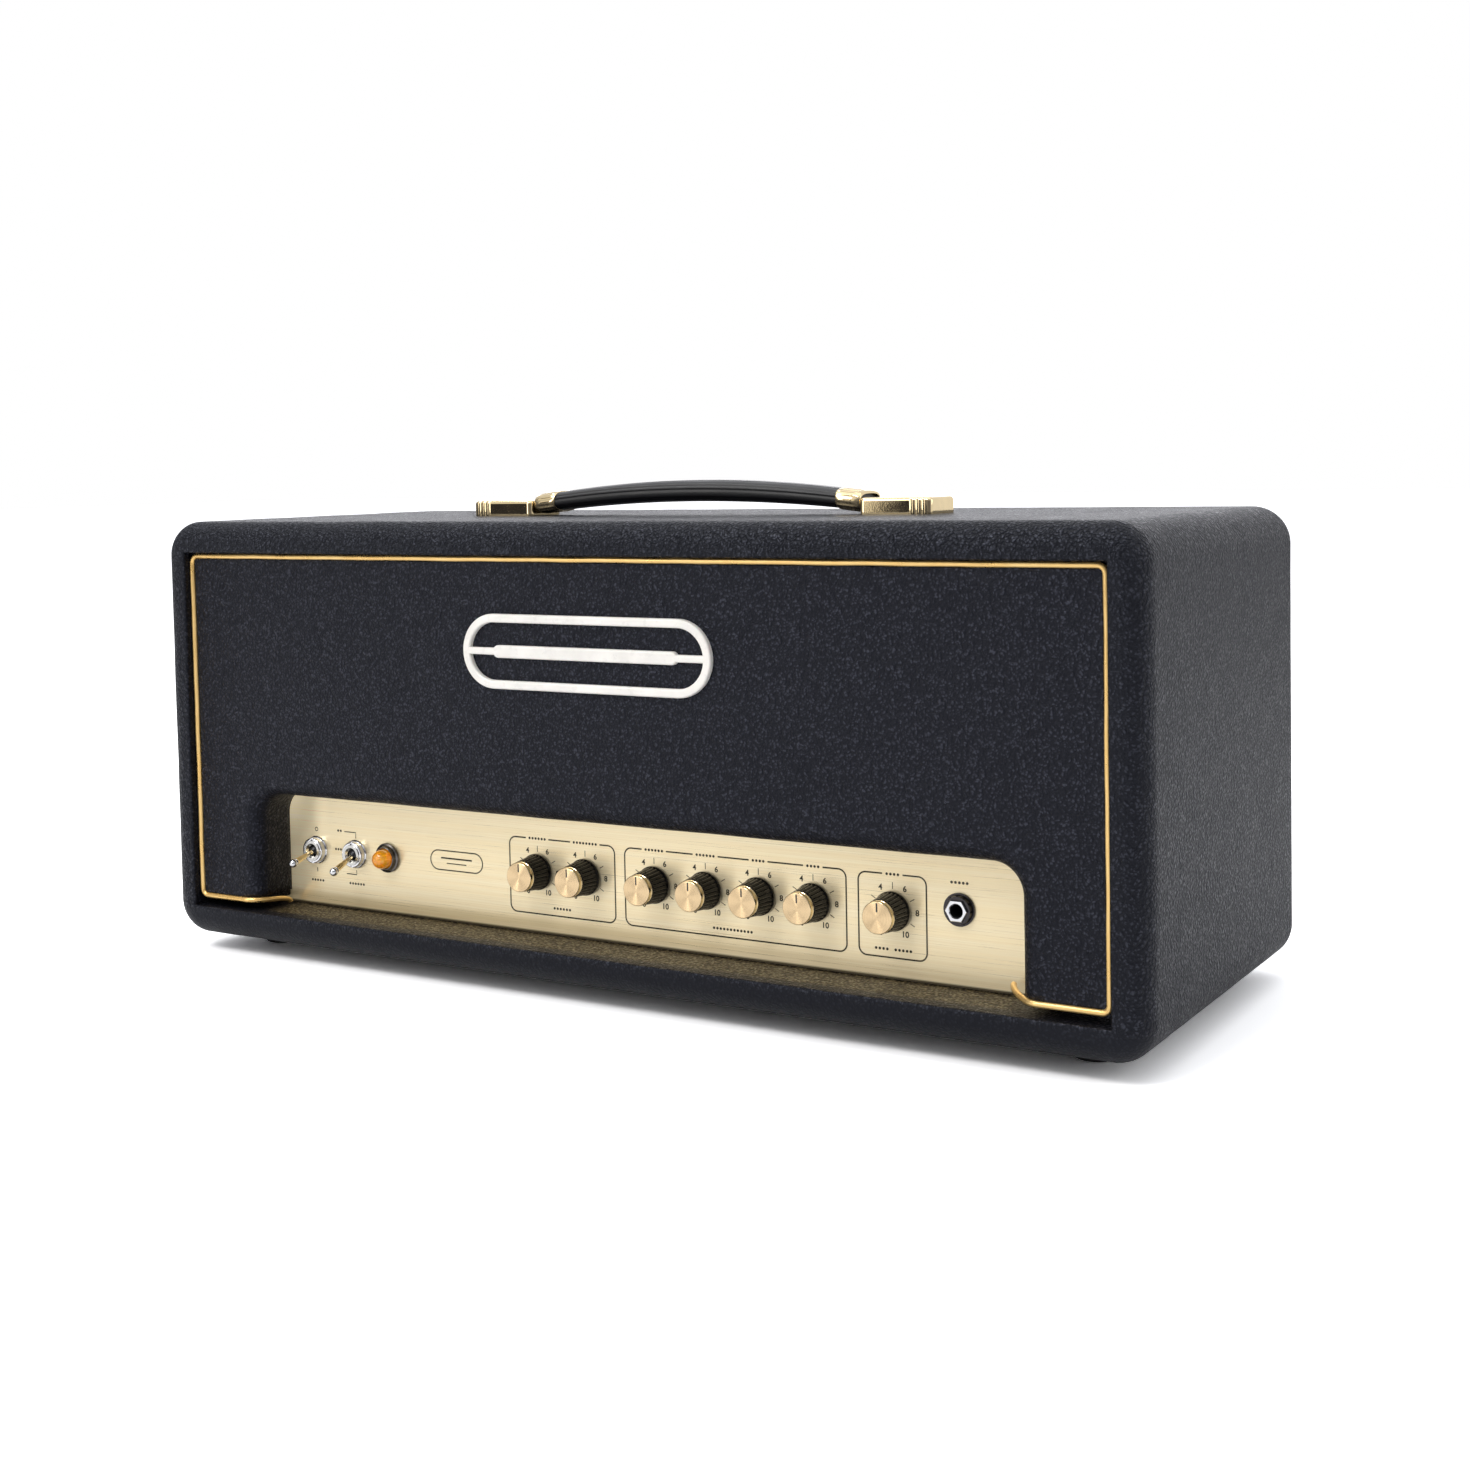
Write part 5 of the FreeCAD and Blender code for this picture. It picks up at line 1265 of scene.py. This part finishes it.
strap()
build("handle_ferrules_ribbed", joined([ferrule(-1), ferrule(1)]), "gold_polished",
      replaces="handle_ferrules", body="handle", angle=55)
dress("handle_core", "zinc_steel")
build("handle_caps_gold", joined([handle_cap(-1), handle_cap(1)]), "gold_polished",
      replaces="handle_caps", angle=40)


# ------------------------------------------------------------------ printed marks
# layers of ink: first y, last y, and the way along Y that the marks face
FRONT_INK = (33.555, 33.63, -1)
REAR_INK = (221.47, 221.56, 1)
DOT_PITCH, DOT_RADIUS = 2.05, 0.72
BOX_FOOT, BOX_TOP = 29.1, 70.6
ROW_LOW_Z = 33.2                       # the dots inside the boxes' foot


def stroke(line, width, ink=FRONT_INK, closed=False):
    """A line drawn through (x, z) points, as a thin solid."""
    y0, y1, _ = ink
    size = len(line)
    left, right = [], []
    for i, (x, z) in enumerate(line):
        if closed:
            before, after = line[i - 1], line[(i + 1) % size]
        else:
            before, after = line[max(i - 1, 0)], line[min(i + 1, size - 1)]
        along = Vector((after[0] - before[0], after[1] - before[1]))
        along.normalize()
        side_x, side_z = -along.y * width / 2, along.x * width / 2
        left.append((x + side_x, z + side_z))
        right.append((x - side_x, z - side_z))
    verts = [point(x, y, z) for y in (y0, y1) for side in (left, right) for x, z in side]
    faces = []
    for i in range(size if closed else size - 1):
        j = (i + 1) % size
        faces += [(i, j, size + j, size + i),
                  (2 * size + i, 3 * size + i, 3 * size + j, 2 * size + j),
                  (i, 2 * size + i, 2 * size + j, j),
                  (size + i, size + j, 3 * size + j, 3 * size + i)]
    if not closed:
        faces += [(0, size, 3 * size, 2 * size),
                  (size - 1, 3 * size - 1, 4 * size - 1, 2 * size - 1)]
    return verts, faces


def number(text, x, z, size, ink=FRONT_INK):
    y0, y1, facing = ink
    curve = bpy.data.curves.new("num", "FONT")
    curve.body = text
    curve.size = size * 1e-3
    curve.offset = size * 0.028e-3
    curve.align_x = "CENTER"
    curve.align_y = "CENTER"
    curve.extrude = (y1 - y0) * 0.5e-3
    curve.resolution_u = 6
    holder = bpy.data.objects.new("num", curve)
    SCENE.collection.objects.link(holder)
    evaluated = holder.evaluated_get(bpy.context.evaluated_depsgraph_get())
    mesh = bpy.data.meshes.new_from_object(evaluated)
    verts = [point(x - facing * vert.co.x * 1e3, (y0 + y1) / 2 + facing * vert.co.z * 1e3,
                   z + vert.co.y * 1e3) for vert in mesh.vertices]
    faces = [tuple(face.vertices) for face in mesh.polygons]
    bpy.data.objects.remove(holder)
    bpy.data.curves.remove(curve)
    bpy.data.meshes.remove(mesh)
    return verts, faces


def dots(x, z, count, pitch=DOT_PITCH):
    """A centred row of small round dots."""
    start = x - pitch * (count - 1) / 2
    y0, y1, _ = FRONT_INK
    return [slab(arc(start + pitch * i, z, DOT_RADIUS, 0, 330, 11), y0, y1)
            for i in range(count)]


def knob_scale(knob_x):
    """Numbers 0 to 10 round a knob, with ticks in place of the odd ones."""
    marks = []
    for i in range(11):
        angle = math.radians(-150 + 30 * i)
        sin, cos = math.sin(angle), math.cos(angle)
        if i % 2 == 0:
            marks.append(number(str(i), knob_x + 13.3 * sin, KNOB_Z + 13.0 * cos, 4.1))
        else:
            radii = (10.9, 14.2 if i == 5 else 13.6)
            marks.append(stroke([(knob_x + r * sin, KNOB_Z + r * cos) for r in radii], 0.40))
    return marks


def outline_box(x0, x1, knobs):
    """A rounded outline round some knobs, its top line broken for their rows of dots."""
    radius, width = 4.2, 0.8
    gaps = []
    for _, x, count in knobs:
        half = DOT_PITCH * (count - 1) / 2 + 2.5
        gaps.append((x - half, x + half))
    left, right = x0 + radius, x1 - radius
    low, high = BOX_FOOT + radius, BOX_TOP - radius
    line = [(gaps[-1][1], BOX_TOP)]
    line += arc(right, high, radius, 90, 0) + arc(right, low, radius, 0, -90)
    line += arc(left, low, radius, -90, -180) + arc(left, high, radius, 180, 90)
    line.append((gaps[0][0], BOX_TOP))
    marks = [stroke(line, width)]
    for before, after in zip(gaps, gaps[1:]):
        marks.append(stroke([(before[1], BOX_TOP), (after[0], BOX_TOP)], width))
    return marks


def power_marks():
    """A ring for off, a bar for on."""
    x, z = POWER_X, SWITCH_Z
    ring = stroke(arc(x, z + 12.2, 1.05, 0, 345, 22), 0.5, closed=True)
    bar = stroke([(x, z - 12.9), (x, z - 10.6)], 0.6)
    return [ring, bar] + dots(x, z - 18.0, 5)


def output_marks():
    """A hooked line above and below the lever, and rows of dots."""
    x, z = OUTPUT_X, SWITCH_Z
    marks = [stroke([(x - 8.6, z + 12.4), (x, z + 12.4), (x, z + 9.0)], 0.6),
             stroke([(x - 7.6, z - 12.2), (x, z - 12.2), (x, z - 9.6)], 0.6)]
    marks += dots(x - 12.4, z + 12.6, 2) + dots(x - 13.6, z + 1.6, 3, pitch=1.9)
    return marks + dots(x, z - 17.6, 6)


def ornament():
    """A stadium outline and two bars."""
    x, z = -112.5, 53.0
    stadium = arc(x + 13.0, z, 5.5, -90, 90, 16) + arc(x - 13.0, z, 5.5, 90, 270, 16)
    return [stroke(stadium, 0.72, closed=True),
            stroke([(x - 11.0, z + 1.3), (x + 11.0, z + 1.3)], 0.9),
            stroke([(x - 7.0, z - 1.6), (x + 7.0, z - 1.6)], 0.6)]


def panel_marks():
    marks = []
    for _, x, _ in KNOBS:
        marks += knob_scale(x)
    for _, x, count in KNOBS:
        marks += dots(x, BOX_TOP, count)
    marks += outline_box(-74.7, -4.7, KNOBS[:2])
    marks += outline_box(1.8, 134.5, KNOBS[2:6])
    marks += outline_box(141.3, 178.5, KNOBS[6:])
    for x, count in ((-39.9, 6), (68.1, 12), (153.8, 4), (165.6, 5)):
        marks += dots(x, ROW_LOW_Z, count)
    marks += dots(JACK_X, JACK_Z + 13.0, 5)
    marks += power_marks() + output_marks() + ornament()
    build("panel_marks", joined(marks), "olive_ink", angle=30)


def rear_marks():
    """Jack numbers, and a line under each group."""
    overhang = 8.0
    jacks = [x for group in REAR_JACKS for x in group]
    marks = [number(str(i), x, REAR_Z + 14.0, 5.0, REAR_INK) for i, x in enumerate(jacks, 1)]
    z = REAR_Z - 14.5
    for group in REAR_JACKS:
        line = [(group[0] + overhang, z), (group[-1] - overhang, z)]
        marks.append(stroke(line, 0.5, REAR_INK))
    build("rear_marks", joined(marks), "pale_ink", angle=30)


panel_marks()
rear_marks()

# ------------------------------------------------------------------ the rest of the hard parts
show("badge", "cream_badge_plastic", bevel=0.12)
show("front_panel", "gold_panel", bevel=0.12)
show("back_grille", "black_grille_paint", bevel=0.12)
show("chassis", "black_chassis_paint", bevel=0.12)
show("feet", "black_rubber", bevel=0.2)
show("machine_screws", "zinc_steel", bevel=0.12)
show("wood_screws", "black_oxide_steel", bevel=0.12)
show("mains_inlet", "black_moulded_plastic", bevel=0.2)
show("fuse_holder", "black_moulded_plastic", bevel=0.2)
show("fuse_cap", "black_moulded_plastic", bevel=0.12, body="fuse_cap")

# CAD nodes shown as they are
DRESSED = {
    "baffle_core": "plywood",
    "board_bottom": "plywood",
    "board_left": "plywood",
    "board_right": "plywood",
    "board_top": "plywood",
    "cleats": "plywood",
    "board_parts": "capacitor_sleeve",
    "bolts_and_nuts": "zinc_steel",
    "circuit_board": "circuit_board",
    "mains_transformer": "laminated_steel",
    "output_transformer": "laminated_steel",
    "transformer_windings": "winding_tape",
    "pots": "nickel_plate",
    "power_valves": "valve_glass",
    "preamp_valves": "valve_glass",
    "pull_slider": "zinc_steel",
    "valve_electrodes": "valve_plate_metal",
    "valve_sockets": "brown_phenolic",
    "wiring": "cable_jacket",
}
for node_name, material_name in DRESSED.items():
    for polygon in dress(node_name, material_name).polygons:
        polygon.material_index = 0


# ------------------------------------------------------------------ floor
def floor():
    """A white floor, over-bright to the camera and darker far out to everything else."""
    half = 14
    mesh = bpy.data.meshes.new("floor")
    corners = [(-half, -half, 0), (half, -half, 0), (half, half, 0), (-half, half, 0)]
    mesh.from_pydata(corners, [], [(0, 1, 2, 3)])
    piece = bpy.data.objects.new("floor", mesh)
    SCENE.collection.objects.link(piece)
    mat = Material("floor_white")
    camera_ray = mat.node("LightPath", out="Is Camera Ray")
    distance = mat.node("VectorMath", {0: mat.place}, out="Value", operation="LENGTH")
    lit = mat.mix(distance.fit((1.8, 4.0)), (0.88, 0.88, 0.885), (0.10, 0.10, 0.11))
    mat.surface(Base_Color=mat.mix(camera_ray, lit, (1.75, 1.75, 1.76)), Roughness=0.8,
                Specular_IOR_Level=0.0)
    mesh.materials.append(MATERIALS["floor_white"])


# ------------------------------------------------------------------ world
# the room round the horizon: azimuth in degrees from the front, positive to the right; colour
ROOM = [(-180, (0.95, 0.95, 1.0)), (-140, (0.95, 0.95, 1.0)), (-124, (0.26, 0.27, 0.31)),
        (-62, (0.17, 0.175, 0.20)), (-50, (0.24, 0.24, 0.25)), (-45, (0.80, 0.78, 0.75)),
        (-19, (0.80, 0.78, 0.75)), (-9, (0.24, 0.24, 0.25)), (40, (0.13, 0.13, 0.145)),
        (68, (0.20, 0.20, 0.23)), (98, (0.88, 0.88, 0.89)), (172, (0.88, 0.88, 0.89)),
        (180, (0.95, 0.95, 1.0))]


def turn_share(degrees):
    return (degrees + 180.0) / 360.0


def studio_world():
    """A graded room for light and reflections, plain white to the camera."""
    world = bpy.data.worlds.new("studio")
    SCENE.world = world
    world.use_nodes = True
    sky = Graph(world.node_tree)
    output = sky.new("OutputWorld")
    x, y, z = sky.split(sky.node("TexCoord", out="Generated"))
    turn = sky.math("ARCTAN2", x, y * -1.0).fit((-PI, PI))

    def sector(rise, fall):
        """1 between two azimuths, with soft sides given in degrees."""
        return (turn.fit(tuple(turn_share(d) for d in rise))
                * turn.fit(tuple(turn_share(d) for d in fall), FALL))

    room = sky.ramp(turn, [(turn_share(d), color) for d, color in ROOM], "EASE")
    # a bright panel low at the back left
    panel = sector((-178, -166), (-136, -126)) * z.fit((0.16, 0.42), FALL)
    room = sky.mix(panel, room, (2.9, 2.9, 3.0))
    room = sky.mix(z.fit((0.25, 0.75)), room, (0.86, 0.87, 0.89))
    # dark strips low on the horizon, seen only in the handle's polished caps
    strips = sky.math("MAXIMUM", sector((-41.0, -39.5), (-35.6, -34.6)),
                      sector((-27.0, -26.8), (-24.2, -23.2)))
    room = sky.mix(z.fit((0.15, 0.25), FALL) * strips, room, (0.03, 0.03, 0.035))
    lit = sky.node("Background", {"Color": room, "Strength": 1.0})
    plain = sky.node("Background", {"Color": (1, 1, 1), "Strength": 1.0})
    camera_ray = sky.node("LightPath", out="Is Camera Ray")
    sky.feed(output.inputs[0], sky.node("MixShader", {0: camera_ray, 1: lit, 2: plain}))


# ------------------------------------------------------------------ lights and camera
def softbox(name, location, target, size, power, color=(1, 1, 1)):
    light = bpy.data.lights.new(name, "AREA")
    light.shape = "RECTANGLE"
    light.size, light.size_y = size
    light.energy = power
    light.color = color
    lamp = bpy.data.objects.new(name, light)
    SCENE.collection.objects.link(lamp)
    lamp.location = location
    lamp.rotation_mode = "QUATERNION"
    lamp.rotation_quaternion = (Vector(target) - Vector(location)).to_track_quat("-Z", "Y")


def camera():
    """Seen from the front right, a little above level and slightly rolled."""
    data = bpy.data.cameras.new("camera")
    holder = bpy.data.objects.new("camera", data)
    SCENE.collection.objects.link(holder)
    SCENE.camera = holder
    data.sensor_width = 36.0
    data.lens = 48.755
    data.shift_x = 0.006315
    data.shift_y = -0.113605
    data.clip_start, data.clip_end = 0.01, 60.0
    azimuth, elevation = math.radians(31.2237), math.radians(2.98378)
    roll = math.radians(-1.10781)
    back = Vector((math.sin(azimuth) * math.cos(elevation),
                   -math.cos(azimuth) * math.cos(elevation), math.sin(elevation)))
    right = (-back).cross(Vector((0, 0, 1))).normalized()
    up = right.cross(-back)
    rolled_right = right * math.cos(roll) + up * math.sin(roll)
    rolled_up = up * math.cos(roll) - right * math.sin(roll)
    rotation = Matrix((rolled_right, rolled_up, back)).transposed().to_4x4()
    holder.matrix_world = Matrix.Translation((0.594189, -0.954285, 0.282953)) @ rotation


floor()
studio_world()
softbox("top_light", location=(0.1, 0.3, 2.4), target=(0, 0, 0.1), size=(2.4, 1.8), power=9.0)
softbox("strip_light", location=(-1.30, -2.15, 1.25), target=(0, 0, 0.2), size=(0.50, 2.4),
        power=12.0, color=(1.0, 0.985, 0.955))
softbox("key_light", location=(-0.35, -2.1, 2.5), target=(0, 0, 0.15), size=(0.9, 0.9),
        power=34.0, color=(1.0, 0.99, 0.98))
softbox("grain_light", location=(-1.30, -0.35, 2.30), target=(0, -0.1, 0.26), size=(0.6, 0.6),
        power=9.0)
softbox("right_light", location=(2.3, 1.3, 1.1), target=(0.1, 0, 0.15), size=(1.2, 1.4),
        power=9.8)
camera()

SCENE.view_settings.view_transform = "Standard"
SCENE.view_settings.look = "None"
SCENE.view_settings.exposure = 0.0
SCENE.view_settings.gamma = 1.0
